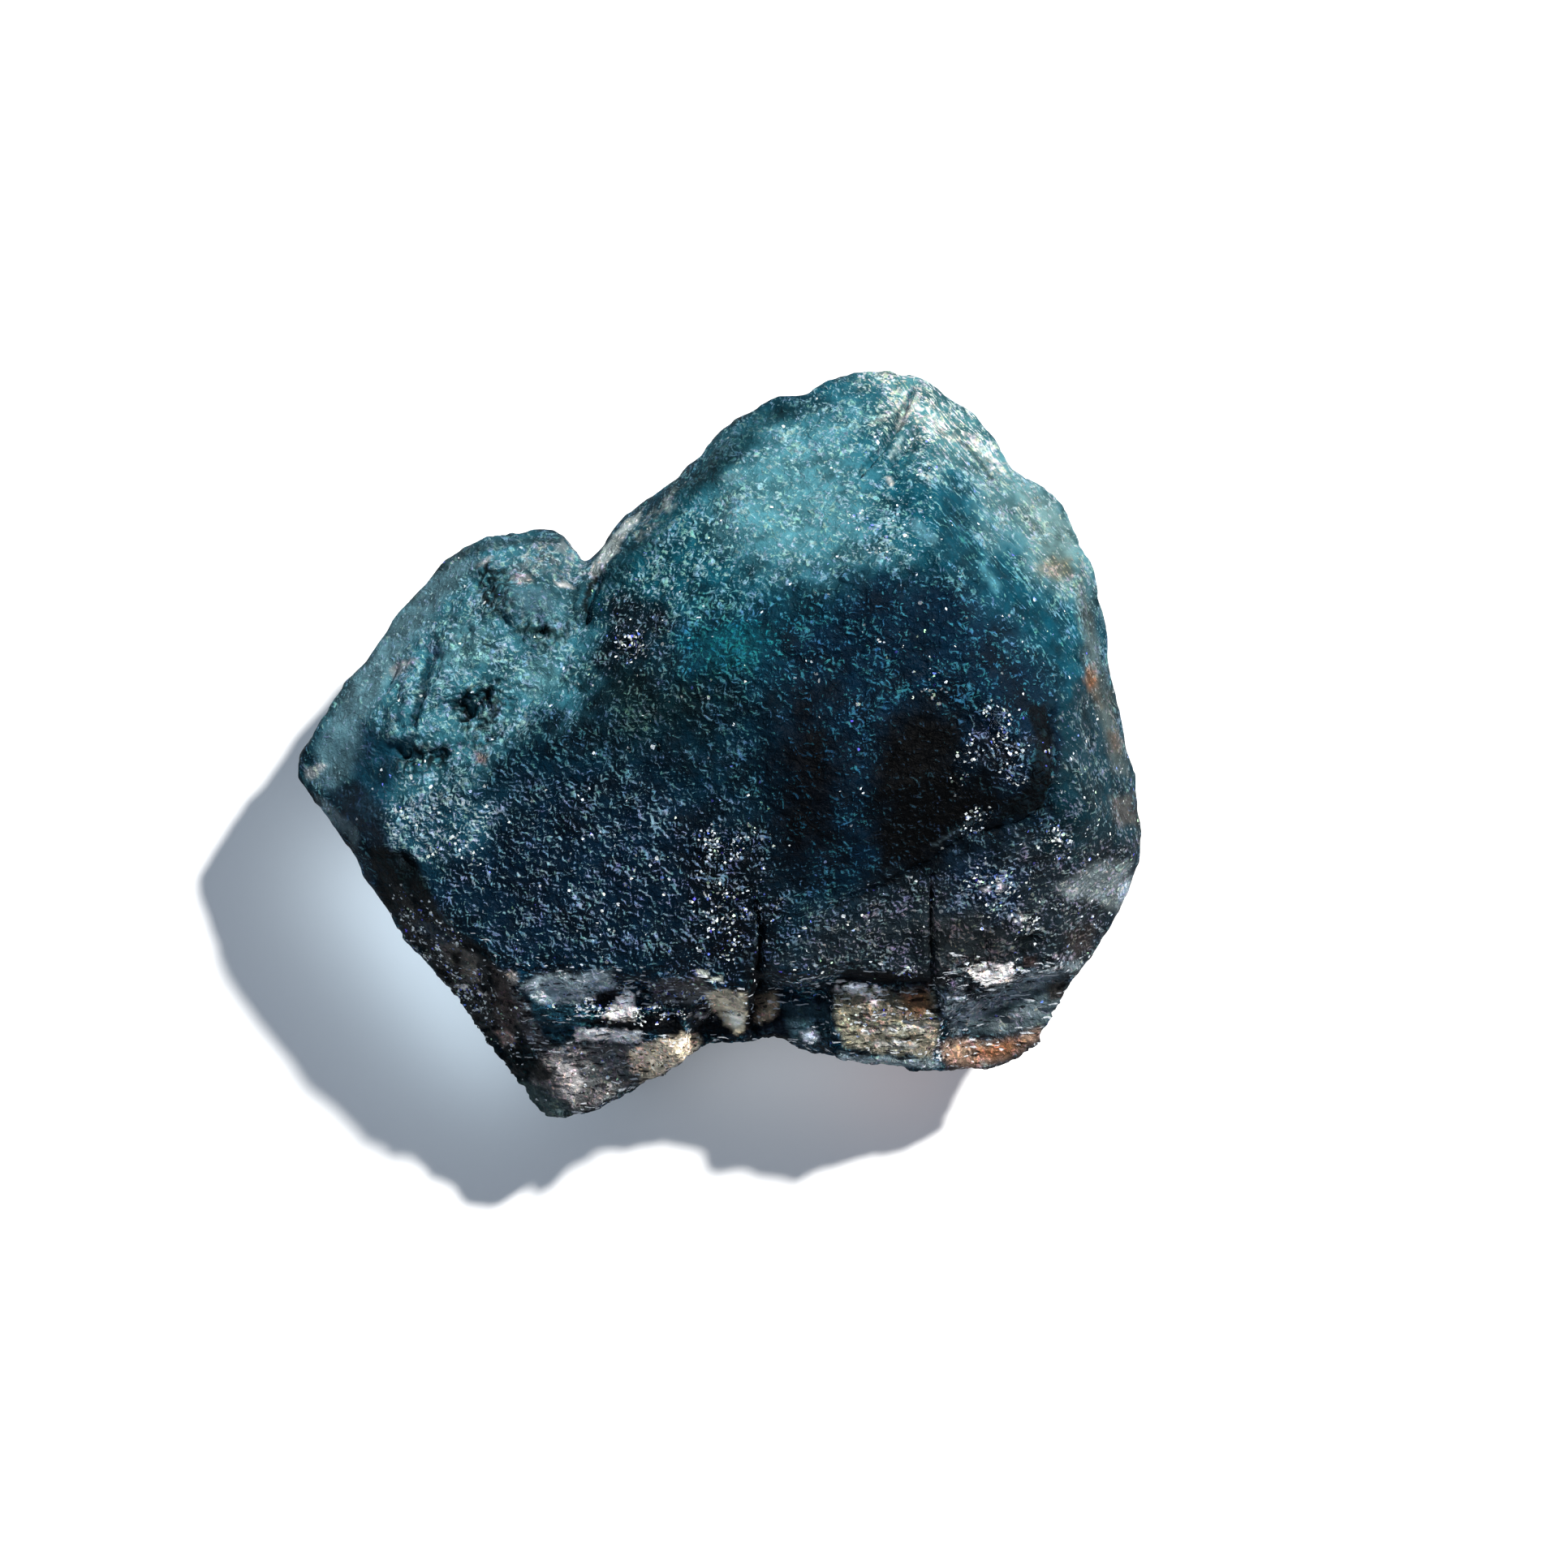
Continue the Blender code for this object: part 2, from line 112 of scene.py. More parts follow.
# Etched zones, laid one over another: name, softness of the edge, colour of the clear body, colour of the
# frosted flecks, the shares of flecks, of glints and of slanting streaks, and outline.
ZONES = (
    ("left crystal", 26, (48, 108, 124), (122, 174, 188), (0.5, 0.06, 0.35),
     ((380, 940), (470, 760), (560, 680), (640, 655), (720, 690), (722, 770), (725, 840), (680, 885),
      (600, 940), (480, 1000))),
    ("teal back", 46, (14, 84, 102), (116, 168, 180), (0.43, 0.09, 0.5),
     ((725, 735), (780, 640), (900, 535), (1020, 460), (1110, 420), (1240, 520), (1350, 640), (1360, 760),
      (1370, 900), (1310, 870), (1262, 790), (1190, 730), (1100, 700), (1015, 706), (925, 732), (860, 760),
      (790, 790))),
    ("teal left of the light", 40, (8, 82, 100), (112, 172, 182), (0.42, 0.1, 0.0),
     ((745, 735), (800, 670), (860, 620), (915, 650), (935, 720), (860, 775), (790, 780))),
    ("light teal", 50, (74, 136, 150), (124, 176, 184), (0.47, 0.04, 0.5),
     ((890, 570), (960, 535), (1040, 520), (1060, 600), (1080, 670), (1000, 690), (920, 690), (880, 630))),
    ("mid teal", 46, (0, 50, 68), (24, 124, 138), (0.25, 0.05, 0.0),
     ((800, 790), (860, 745), (960, 722), (1050, 720), (1040, 790), (960, 830), (880, 850), (820, 840))),
    ("apex frost", 34, (70, 126, 134), (184, 212, 210), (0.52, 0.08, 1.0),
     ((1075, 440), (1150, 450), (1240, 540), (1235, 590), (1190, 580), (1130, 560), (1080, 520))),
    ("right flank", 34, (84, 130, 138), (130, 164, 168), (0.5, 0.04, 0.8),
     ((1190, 570), (1240, 560), (1300, 590), (1345, 680), (1352, 740), (1300, 730), (1240, 680))),
    ("teal slope", 36, (0, 64, 82), (80, 152, 162), (0.3, 0.1, 1.0),
     ((1120, 590), (1190, 620), (1250, 690), (1330, 760), (1345, 850), (1300, 850), (1262, 780), (1210, 730),
      (1160, 690))),
    ("olive below the notch", 44, (2, 30, 37), (70, 108, 108), (0.23, 0.08, 0.0),
     ((735, 830), (800, 815), (880, 850), (870, 900), (800, 920), (730, 900))),
    ("deep blue", 44, (0, 27, 46), (44, 112, 132), (0.2, 0.07, 0.0),
     ((960, 770), (1040, 710), (1150, 700), (1220, 740), (1290, 810), (1315, 880), (1300, 980), (1200, 1050),
      (1060, 1090), (975, 1080), (945, 980), (945, 860))),
    ("dark hollow", 40, (0, 3, 9), (12, 56, 74), (0.03, 0.02, 0.0),
     ((960, 880), (1010, 870), (1035, 930), (1030, 1050), (985, 1080), (955, 1000), (950, 940))),
    ("black of the core", 34, (0, 1, 3), (30, 56, 70), (0.02, 0.03, 0.0),
     ((1080, 900), (1130, 870), (1180, 890), (1220, 960), (1290, 970), (1310, 985), (1284, 1010),
      (1240, 1016), (1150, 1070), (1070, 1090), (1080, 1000))),
    ("grey lens of the core", 16, (2, 12, 24), (104, 134, 158), (0.23, 0.34, 0.0),
     ((1206, 888), (1246, 880), (1274, 915), (1268, 952), (1232, 968), (1204, 936))),
    ("side below the flank", 7, (6, 44, 56), (92, 124, 132), (0.33, 0.14, 0.6),
     ((1297, 850), (1375, 830), (1410, 960), (1400, 1060), (1340, 1080), (1290, 1040), (1284, 1010),
      (1300, 960))),
    ("front face", 60, (0, 25, 44), (108, 152, 170), (0.235, 0.12, 0.0),
     ((480, 1050), (700, 970), (800, 960), (880, 1010), (930, 1100), (900, 1200), (700, 1210), (620, 1190),
      (520, 1080))),
    ("light grain above the bevel", 30, (24, 72, 92), (144, 184, 198), (0.47, 0.18, 0.0),
     ((470, 990), (560, 960), (620, 990), (600, 1050), (530, 1070), (480, 1050))),
    ("glittering front", 40, (0, 10, 20), (98, 132, 154), (0.21, 0.2, 0.0),
     ((830, 1040), (900, 1010), (960, 1040), (970, 1120), (960, 1190), (860, 1200), (820, 1130))),
    ("glittering notch", 30, (0, 20, 30), (98, 132, 146), (0.24, 0.14, 0.0),
     ((732, 745), (760, 725), (810, 745), (830, 790), (800, 825), (745, 820))),
    ("grey lower right", 30, (24, 36, 44), (110, 130, 138), (0.31, 0.18, 0.0),
     ((1010, 1130), (1090, 1100), (1180, 1060), (1250, 1030), (1310, 1050), (1400, 1020), (1400, 1110),
      (1330, 1200), (1180, 1240), (1150, 1215), (1040, 1195), (960, 1200))),
    ("brown by the square crack", 22, (34, 42, 46), (82, 90, 90), (0.34, 0.05, 0.0),
     ((1150, 1095), (1220, 1090), (1240, 1150), (1225, 1215), (1152, 1215))),
    ("blue above the ridge", 26, (4, 30, 52), (112, 148, 174), (0.32, 0.4, 0.0),
     ((1160, 1070), (1220, 1050), (1260, 1080), (1230, 1130), (1170, 1110))),
)

# Faces, films and stains laid over the zones: name, softness, colour, strength and outline. Some are painted
# shade or painted highlights, as marked.
FACES = (
    ("outer strip of the left crystal", 12, (108, 152, 165), 0.8,
     ((380, 962), (392, 915), (425, 850), (462, 795), (482, 762), (522, 712), (560, 684), (604, 690),
      (575, 715), (545, 745), (505, 800), (476, 850), (452, 890), (444, 950), (410, 975))),
    ("blue by the tip", 14, (0, 50, 72), 0.85,
     ((444, 880), (470, 900), (500, 912), (494, 960), (478, 1000), (474, 1040), (430, 1010), (432, 940))),
    ("dark blue above the bevel", 10, (28, 52, 68), 0.9,
     ((405, 975), (440, 960), (478, 1000), (476, 1045), (440, 1020))),
    ("dark top edge", 5, (34, 56, 62), 0.75,
     ((486, 742), (520, 700), (556, 676), (600, 664), (660, 660), (700, 664), (690, 674), (650, 672),
      (604, 678), (562, 692), (530, 716), (500, 752))),
    ("tip rim", 4, (98, 124, 134), 0.9, ((386, 975), (402, 985), (446, 1030), (440, 1048), (395, 1000))),
    ("tip light", 3, (196, 206, 210), 0.9, ((374, 950), (394, 938), (402, 944), (386, 962))),
    ("dark top of the left crystal", 7, (4, 28, 32), 0.95,
     ((586, 690), (612, 688), (636, 712), (634, 760), (606, 766), (586, 730))),
    ("frosted top", 6, (150, 164, 168), 0.6,
     ((652, 672), (700, 664), (722, 690), (724, 716), (700, 716), (660, 706), (628, 716), (626, 704))),
    ("white top left", 3, (184, 192, 194), 0.8, ((584, 697), (603, 684), (610, 688), (590, 700))),
    ("white top middle", 3, (202, 206, 206), 0.85, ((628, 708), (650, 706), (656, 716), (634, 720))),
    # Painted highlight: a glint of the sun by the notch, painted white.
    ("white by the notch", 2, (250, 252, 252), 1.0, ((680, 716), (700, 718), (708, 724), (692, 724))),
    ("shaded top of the left crystal", 20, (58, 94, 104), 0.45,
     ((602, 692), (660, 672), (720, 690), (724, 756), (694, 800), (640, 800), (612, 760))),
    ("grey-blue face", 7, (70, 108, 124), 0.75, ((630, 724), (676, 722), (684, 756), (640, 760))),
    # Painted light: the crest is painted lighter where it faces the sun.
    ("light crest", 12, (104, 158, 168), 0.5,
     ((542, 792), (560, 768), (606, 766), (612, 812), (570, 826), (540, 822))),
    ("light hollow", 12, (98, 154, 164), 0.6, ((642, 812), (680, 806), (694, 840), (660, 866), (636, 850))),
    ("white ledge", 3, (186, 198, 202), 0.8, ((479, 824), (494, 815), (520, 812), (498, 826), (486, 838))),
    # Painted shade: the black pit and the green pit are painted dark for the shade in them.
    ("black pit", 7, (2, 14, 18), 0.85,
     ((552, 870), (574, 844), (616, 832), (636, 862), (612, 898), (572, 906))),
    ("green pit", 4, (2, 34, 36), 0.85,
     ((628, 772), (656, 764), (690, 764), (700, 790), (676, 806), (650, 800))),
    ("black blotches", 7, (2, 18, 24), 0.8,
     ((480, 922), (520, 912), (560, 914), (556, 944), (520, 952), (488, 960))),
    ("lower blotches", 6, (6, 22, 28), 0.7, ((556, 912), (588, 904), (612, 908), (600, 922), (570, 928))),
    ("beige flecks", 4, (128, 116, 112), 0.8, ((584, 925), (603, 928), (602, 941), (586, 940))),
    # Partly painted shade: this flank faces away from the sun, and its dark teal is painted darker for it.
    ("back-left band", 9, (10, 62, 74), 0.8,
     ((735, 722), (752, 690), (786, 648), (812, 618), (840, 592), (872, 560), (905, 530), (935, 504),
      (975, 496), (1000, 492), (980, 512), (935, 540), (915, 566), (888, 592), (846, 628), (806, 676),
      (770, 712), (745, 738))),
    ("grey in the band", 5, (104, 126, 130), 0.8,
     ((772, 650), (800, 628), (830, 606), (838, 620), (808, 648), (786, 672))),
    ("notch rim", 3, (196, 214, 214), 0.9,
     ((722, 708), (742, 676), (770, 644), (792, 626), (786, 642), (766, 668), (742, 702), (730, 716))),
    ("upper notch rim", 4, (140, 166, 168), 0.7, ((814, 622), (832, 598), (838, 600), (822, 628))),
    ("streak below the band", 3, (120, 160, 168), 0.5, ((884, 586), (905, 583), (922, 592), (900, 595))),
    ("white frost", 7, (160, 178, 176), 0.75,
     ((1126, 512), (1150, 500), (1180, 524), (1188, 546), (1160, 544), (1140, 528))),
    ("frost by the edge", 6, (170, 190, 186), 0.55,
     ((1190, 548), (1220, 556), (1240, 580), (1222, 584), (1202, 566))),
    ("apex grey", 6, (160, 176, 176), 0.6, ((1080, 432), (1110, 440), (1104, 462), (1080, 466))),
    ("dark teal gap", 9, (0, 66, 84), 0.7,
     ((1150, 590), (1170, 600), (1200, 650), (1212, 700), (1190, 690), (1162, 640))),
    ("blue bar", 4, (92, 152, 170), 0.75, ((1117, 645), (1130, 640), (1156, 664), (1150, 676), (1130, 662))),
    ("second blue bar", 5, (72, 138, 156), 0.75,
     ((1204, 694), (1214, 692), (1236, 722), (1230, 736), (1212, 716))),
    ("smooth right edge", 12, (120, 152, 152), 0.55,
     ((1250, 600), (1290, 610), (1325, 650), (1326, 690), (1290, 690), (1262, 650))),
    ("grey right rim", 8, (84, 98, 98), 0.75,
     ((1330, 700), (1345, 740), (1362, 820), (1380, 900), (1395, 960), (1372, 950), (1352, 880), (1334, 800),
      (1322, 740))),
    ("edge of the core", 5, (0, 4, 9), 0.93,
     ((1262, 866), (1288, 868), (1296, 900), (1297, 964), (1284, 1000), (1228, 1014), (1236, 992),
      (1266, 966), (1276, 920))),
    ("stain back", 9, (140, 128, 100), 0.55,
     ((1276, 696), (1296, 684), (1318, 686), (1322, 712), (1300, 716), (1282, 708))),
    ("stain side", 7, (134, 90, 52), 0.7, ((1336, 820), (1346, 820), (1352, 846), (1344, 854), (1336, 840))),
    ("stain side tail", 8, (128, 112, 92), 0.45, ((1340, 850), (1354, 850), (1358, 872), (1348, 870))),
    ("stain corner", 8, (116, 92, 74), 0.5, ((1366, 902), (1378, 900), (1382, 930), (1370, 926))),
    ("beige corner", 8, (104, 96, 90), 0.5, ((1366, 980), (1400, 975), (1404, 1016), (1374, 1018))),
    ("teal glow", 16, (8, 84, 98), 0.5, ((850, 780), (900, 764), (946, 776), (930, 824), (880, 836))),
    # Partly painted shade: the bevel is dark crystal, and is painted nearly black as well because it faces
    # away from the sun.
    ("front bevel", 6, (4, 16, 20), 0.94,
     ((446, 1040), (508, 1050), (541, 1118), (560, 1142), (600, 1170), (622, 1200), (642, 1260), (664, 1304),
      (700, 1344), (700, 1385), (650, 1385), (600, 1300), (540, 1210), (470, 1110))),
    ("bevel film", 5, (58, 78, 92), 0.8, ((507, 1135), (530, 1134), (562, 1160), (548, 1170), (516, 1150))),
    ("bevel grey", 4, (98, 98, 94), 0.8,
     ((540, 1164), (560, 1160), (585, 1180), (592, 1210), (572, 1208), (556, 1190))),
    ("bevel grey hole", 3, (2, 8, 10), 0.95, ((554, 1174), (568, 1172), (570, 1200), (560, 1200))),
    ("bevel light", 3, (136, 136, 130), 0.85, ((572, 1186), (586, 1186), (592, 1208), (580, 1212))),
    ("upper light", 3, (156, 156, 152), 0.85, ((620, 1196), (632, 1192), (638, 1210), (624, 1218))),
    ("bevel brown", 4, (66, 60, 58), 0.6,
     ((600, 1222), (618, 1218), (634, 1260), (636, 1290), (616, 1284), (608, 1250))),
    ("bevel pale", 3, (150, 136, 130), 0.7, ((610, 1272), (626, 1268), (637, 1284), (620, 1290))),
    ("brown band", 5, (94, 86, 84), 0.5,
     ((600, 1190), (622, 1196), (652, 1240), (684, 1296), (690, 1322), (664, 1306), (636, 1262),
      (612, 1220))),
    ("navy above the tip", 8, (24, 60, 76), 0.8,
     ((640, 1208), (700, 1222), (728, 1240), (724, 1276), (690, 1290), (660, 1262))),
    ("lavender ledge", 6, (178, 202, 214), 0.85,
     ((640, 1216), (664, 1200), (752, 1198), (762, 1222), (712, 1236), (664, 1236))),
    ("brown ledge", 7, (96, 96, 96), 0.75, ((800, 1212), (866, 1200), (878, 1222), (850, 1240), (806, 1238))),
    # Painted shade: the riser of a ledge, painted black where it faces away from the sun.
    ("upper black bar", 3, (2, 4, 10), 0.97, ((728, 1220), (760, 1216), (764, 1232), (736, 1236))),
    # Painted highlight: a glint of the sun on a ledge, painted white.
    ("white patch", 1.5, (255, 255, 255), 1.0,
     ((744, 1250), (756, 1234), (774, 1222), (786, 1230), (784, 1256), (766, 1262), (748, 1260))),
    # Painted shade: the riser below, painted black where it faces away from the sun.
    ("front riser", 3, (0, 2, 6), 0.99,
     ((726, 1262), (742, 1250), (790, 1256), (800, 1246), (842, 1246), (846, 1272), (830, 1278), (790, 1272),
      (740, 1266))),
    # Painted highlights: glints of the sun along the ledge, painted white.
    ("bright ledge", 1.5, (255, 255, 255), 0.95,
     ((704, 1274), (716, 1268), (752, 1268), (750, 1280), (716, 1284))),
    ("pale ledge", 3, (225, 232, 240), 0.85, ((752, 1268), (788, 1270), (790, 1284), (752, 1284))),
    ("tip face", 8, (106, 108, 110), 0.92,
     ((664, 1296), (700, 1282), (790, 1284), (800, 1300), (790, 1330), (760, 1352), (716, 1374), (672, 1382),
      (650, 1350))),
    ("tip shade", 8, (86, 92, 94), 0.7, ((712, 1306), (750, 1298), (780, 1312), (768, 1340), (730, 1340))),
    ("tip pale", 5, (190, 188, 190), 0.65, ((680, 1306), (702, 1302), (716, 1330), (710, 1360), (692, 1350))),
    ("tip black", 4, (2, 8, 10), 0.92, ((650, 1312), (664, 1304), (680, 1322), (676, 1336), (660, 1332))),
    ("tip green", 5, (50, 74, 76), 0.85,
     ((642, 1330), (666, 1336), (700, 1360), (706, 1378), (664, 1388), (640, 1362))),
    ("beige film", 4, (255, 240, 212), 0.92,
     ((772, 1300), (790, 1284), (820, 1280), (862, 1268), (868, 1282), (846, 1304), (812, 1326), (790, 1332),
      (776, 1318))),
    # Painted shade: risers between the ledges, painted black where they face away from the sun.
    ("black front", 4, (2, 6, 16), 0.95,
     ((838, 1238), (878, 1236), (900, 1262), (934, 1262), (960, 1240), (1020, 1226), (1026, 1250),
      (1000, 1262), (970, 1284), (930, 1284), (880, 1280), (850, 1268))),
    ("beige block", 3, (216, 208, 184), 0.92,
     ((868, 1224), (886, 1218), (922, 1222), (920, 1264), (908, 1274), (890, 1262))),
    ("green-white chip", 3, (244, 250, 240), 0.85, ((892, 1246), (912, 1244), (914, 1262), (900, 1266))),
    ("beige piece by the split", 4, (190, 172, 146), 0.85,
     ((930, 1224), (956, 1222), (958, 1248), (938, 1262), (926, 1256))),
    ("split shade", 7, (2, 6, 14), 0.75,
     ((912, 1180), (936, 1150), (950, 1190), (948, 1232), (930, 1266), (918, 1240))),
    # Painted shade: the riser above the tan block, painted black where it faces away from the sun.
    ("riser of the tan block", 3, (1, 6, 16), 0.96,
     ((1028, 1208), (1044, 1194), (1090, 1196), (1152, 1200), (1152, 1217), (1090, 1214), (1048, 1210),
      (1034, 1226), (1018, 1228))),
    ("tan block", 5, (132, 130, 114), 0.9,
     ((1030, 1222), (1060, 1216), (1150, 1222), (1160, 1262), (1150, 1304), (1090, 1300), (1040, 1290),
      (1026, 1260))),
    ("brown patch", 9, (106, 74, 50), 0.85,
     ((1106, 1220), (1144, 1216), (1150, 1244), (1132, 1256), (1112, 1246))),
    ("grain left of the block", 6, (44, 70, 82), 0.8,
     ((962, 1236), (1020, 1236), (1030, 1276), (1012, 1296), (974, 1284))),
    ("pale lens", 3, (180, 198, 214), 0.85, ((984, 1272), (1002, 1268), (1012, 1280), (994, 1286))),
    ("block foot", 4, (130, 150, 158), 0.85,
     ((1030, 1296), (1090, 1304), (1156, 1306), (1160, 1318), (1070, 1316), (1032, 1308))),
    ("pale by the chip", 6, (120, 136, 148), 0.7,
     ((1158, 1222), (1186, 1216), (1200, 1232), (1180, 1252), (1160, 1254))),
    ("corner chip", 10, (76, 92, 98), 0.9,
     ((1186, 1250), (1234, 1228), (1310, 1200), (1322, 1216), (1308, 1250), (1280, 1268), (1236, 1276),
      (1196, 1274))),
    ("chip ridge", 6, (134, 152, 162), 0.8,
     ((1166, 1262), (1186, 1240), (1238, 1212), (1290, 1192), (1332, 1180), (1334, 1196), (1290, 1212),
      (1240, 1236), (1198, 1262), (1176, 1274))),
    ("second chip ridge", 6, (128, 142, 148), 0.6,
     ((1214, 1262), (1250, 1244), (1290, 1234), (1296, 1244), (1262, 1256), (1226, 1274))),
    ("brown end of the chip", 5, (46, 36, 30), 0.8, ((1288, 1212), (1314, 1206), (1312, 1232), (1292, 1234))),
    ("iron crust", 12, (142, 116, 98), 0.85,
     ((1156, 1288), (1180, 1278), (1220, 1282), (1256, 1274), (1280, 1266), (1286, 1278), (1260, 1302),
      (1206, 1318), (1168, 1316))),
    ("iron orange", 9, (136, 88, 50), 0.65,
     ((1204, 1292), (1226, 1284), (1256, 1280), (1250, 1298), (1224, 1308), (1208, 1304))),
    ("iron pale", 5, (164, 142, 122), 0.7, ((1166, 1290), (1184, 1284), (1196, 1300), (1180, 1310))),
    ("white glint patch", 1.5, (255, 255, 255), 0.95,
     ((1188, 1196), (1206, 1186), (1250, 1188), (1250, 1208), (1230, 1216), (1200, 1208))),
    ("light lower right", 9, (142, 160, 166), 0.72,
     ((1300, 1094), (1326, 1076), (1362, 1058), (1392, 1062), (1396, 1098), (1380, 1124), (1350, 1112),
      (1318, 1110))),
    ("pale blue rim", 3, (170, 196, 212), 0.85, ((1378, 1092), (1392, 1084), (1394, 1106), (1382, 1114))),
    ("dark eddy", 4, (6, 16, 20), 0.85,
     ((1246, 1152), (1270, 1148), (1284, 1164), (1262, 1176), (1248, 1168))),
    ("brown eddy", 4, (56, 44, 42), 0.8, ((1260, 1176), (1280, 1176), (1280, 1194), (1264, 1192))),
    ("edge brown", 8, (62, 52, 50), 0.6, ((1310, 1150), (1350, 1130), (1346, 1170), (1322, 1186))),
)

# Faces that are nearly free of relief and of flecks, and faces that are broken up into specks.
SMOOTH_FACES = (
    "outer strip of the left crystal", "blue by the tip", "dark blue above the bevel", "corner chip",
    "brown ledge", "beige block",
)
GRAINY_FACES = (
    "dark top of the left crystal", "frosted top", "black pit", "green pit", "black blotches",
    "lower blotches", "grey in the band", "white frost", "frost by the edge",
)

# Lines of colour: name, width, colour, strength and points. Those named glint are painted highlights: glints
# of the sun.
STROKES = (
    # Painted shade: the split is painted black for the shade in its gap.
    ("split", 6, (1, 3, 8), 0.97, ((936, 1165), (932, 1200), (922, 1264))),
    ("square crack", 1.6, (2, 4, 8), 0.97, ((1147, 1086), (1148, 1150), (1149, 1216))),
    ("square crack above", 1.2, (2, 8, 20), 0.6, ((1147, 1050), (1147, 1086))),
    ("small crack", 1.4, (2, 4, 6), 0.9, ((1217, 1164), (1218, 1192))),
    ("apex crack", 3.2, (6, 62, 76), 0.9, ((1121, 486), (1104, 520), (1086, 552), (1058, 582))),
    ("apex branch", 3.0, (8, 66, 78), 0.9, ((1124, 534), (1110, 556), (1096, 574))),
    ("apex light", 3.0, (196, 212, 208), 0.7, ((1106, 528), (1118, 510), (1126, 496))),
    ("apex light below", 2.4, (170, 204, 206), 0.7, ((1098, 562), (1112, 540))),
    ("lower ridge", 2.2, (0, 6, 14), 0.8, ((1186, 1034), (1152, 1060), (1100, 1086), (1026, 1118))),
    ("apex dark one", 3.0, (26, 66, 72), 0.8, ((1186, 546), (1206, 566), (1222, 590))),
    ("apex dark two", 3.4, (20, 74, 84), 0.8, ((1130, 548), (1120, 566), (1102, 588))),
    ("apex dark three", 3.0, (18, 70, 84), 0.6, ((1150, 556), (1160, 580), (1176, 604))),
    ("apex white one", 5.0, (226, 236, 232), 0.7, ((1118, 498), (1146, 506), (1172, 530))),
    ("apex white two", 4.0, (216, 228, 224), 0.6, ((1190, 534), (1214, 556), (1236, 580))),
    ("apex white three", 4.0, (196, 218, 216), 0.6, ((1076, 520), (1092, 514), (1104, 500))),
    ("apex white four", 2.4, (220, 232, 230), 0.7, ((1096, 590), (1100, 598))),
    ("ridge light", 1.0, (84, 104, 114), 0.4, ((1212, 1002), (1180, 1022), (1150, 1042))),
    ("left groove", 8.0, (6, 44, 58), 0.85, ((530, 814), (522, 836), (516, 864), (508, 892))),
    # Painted shade: the wall of the notch between the crystals, painted black.
    ("notch wall", 6.0, (2, 12, 14), 0.95, ((733, 712), (724, 730), (722, 752))),
    ("tick one", 2.4, (8, 34, 40), 0.8, ((700, 768), (698, 792))),
    ("tick two", 2.0, (16, 44, 52), 0.6, ((690, 838), (716, 846))),
    ("ledge glint", 5.0, (250, 250, 255), 0.75, ((1032, 1218), (1060, 1214), (1088, 1222))),
    ("ledge glint down", 3.0, (246, 246, 255), 0.75, ((1070, 1222), (1078, 1238))),
    ("ledge glints", 7.0, (255, 255, 255), 0.8, ((1030, 1212), (1044, 1216), (1058, 1222), (1074, 1232))),
    ("block line one", 2.6, (206, 208, 200), 0.7, ((1060, 1272), (1098, 1270), (1132, 1262))),
    ("block line two", 3.0, (214, 216, 212), 0.7, ((1078, 1286), (1128, 1288))),
    ("block dark line", 1.2, (10, 12, 12), 0.9, ((1092, 1278), (1126, 1279))),
    ("block light", 2.0, (190, 196, 186), 0.6, ((1096, 1262), (1122, 1262))),
    ("beige crack", 1.2, (30, 26, 20), 0.85, ((886, 1246), (912, 1248))),
    ("glint one", 3.0, (248, 248, 252), 0.9, ((783, 1222), (792, 1228))),
    ("glint two", 2.2, (220, 220, 228), 0.8, ((708, 1230), (724, 1228))),
    ("glint three", 3.0, (240, 250, 236), 0.75, ((862, 1198), (888, 1206))),
    ("glint four", 2.0, (170, 174, 184), 0.8, ((852, 1250), (878, 1254))),
    ("glint five", 4.0, (240, 240, 250), 0.7, ((1212, 1096), (1236, 1092))),
    ("glint six", 2.6, (186, 184, 206), 0.8, ((1297, 1178), (1320, 1180))),
    ("glint seven", 3.4, (246, 246, 250), 0.8, ((1250, 1130), (1262, 1130))),
    ("glint eight", 2.6, (220, 222, 230), 0.6, ((1304, 1100), (1326, 1098))),
    ("bevel glint", 3.0, (250, 250, 250), 0.95, ((567, 1212), (574, 1216))),
    ("second bevel glint", 2.4, (236, 236, 230), 0.9, ((592, 1220), (597, 1224))),
)

# Where cleavage has broken the stone into small blocks.
BROKEN = (
    (500, 1110), (560, 1140), (620, 1190), (700, 1200), (900, 1206), (1030, 1198), (1150, 1192), (1240, 1176),
    (1330, 1176), (1330, 1215), (1280, 1300), (1160, 1325), (1020, 1312), (870, 1305), (780, 1345),
    (690, 1395), (630, 1350), (540, 1220), (480, 1130),
)

# Striations: their direction in degrees, their spacing and height in millimetres, and their zone.
STRIATIONS = (
    (-52, 0.7, 0.05, "right flank"),
    (-52, 0.7, 0.05, "teal slope"),
    (38, 0.6, 0.045, "left crystal"),
)

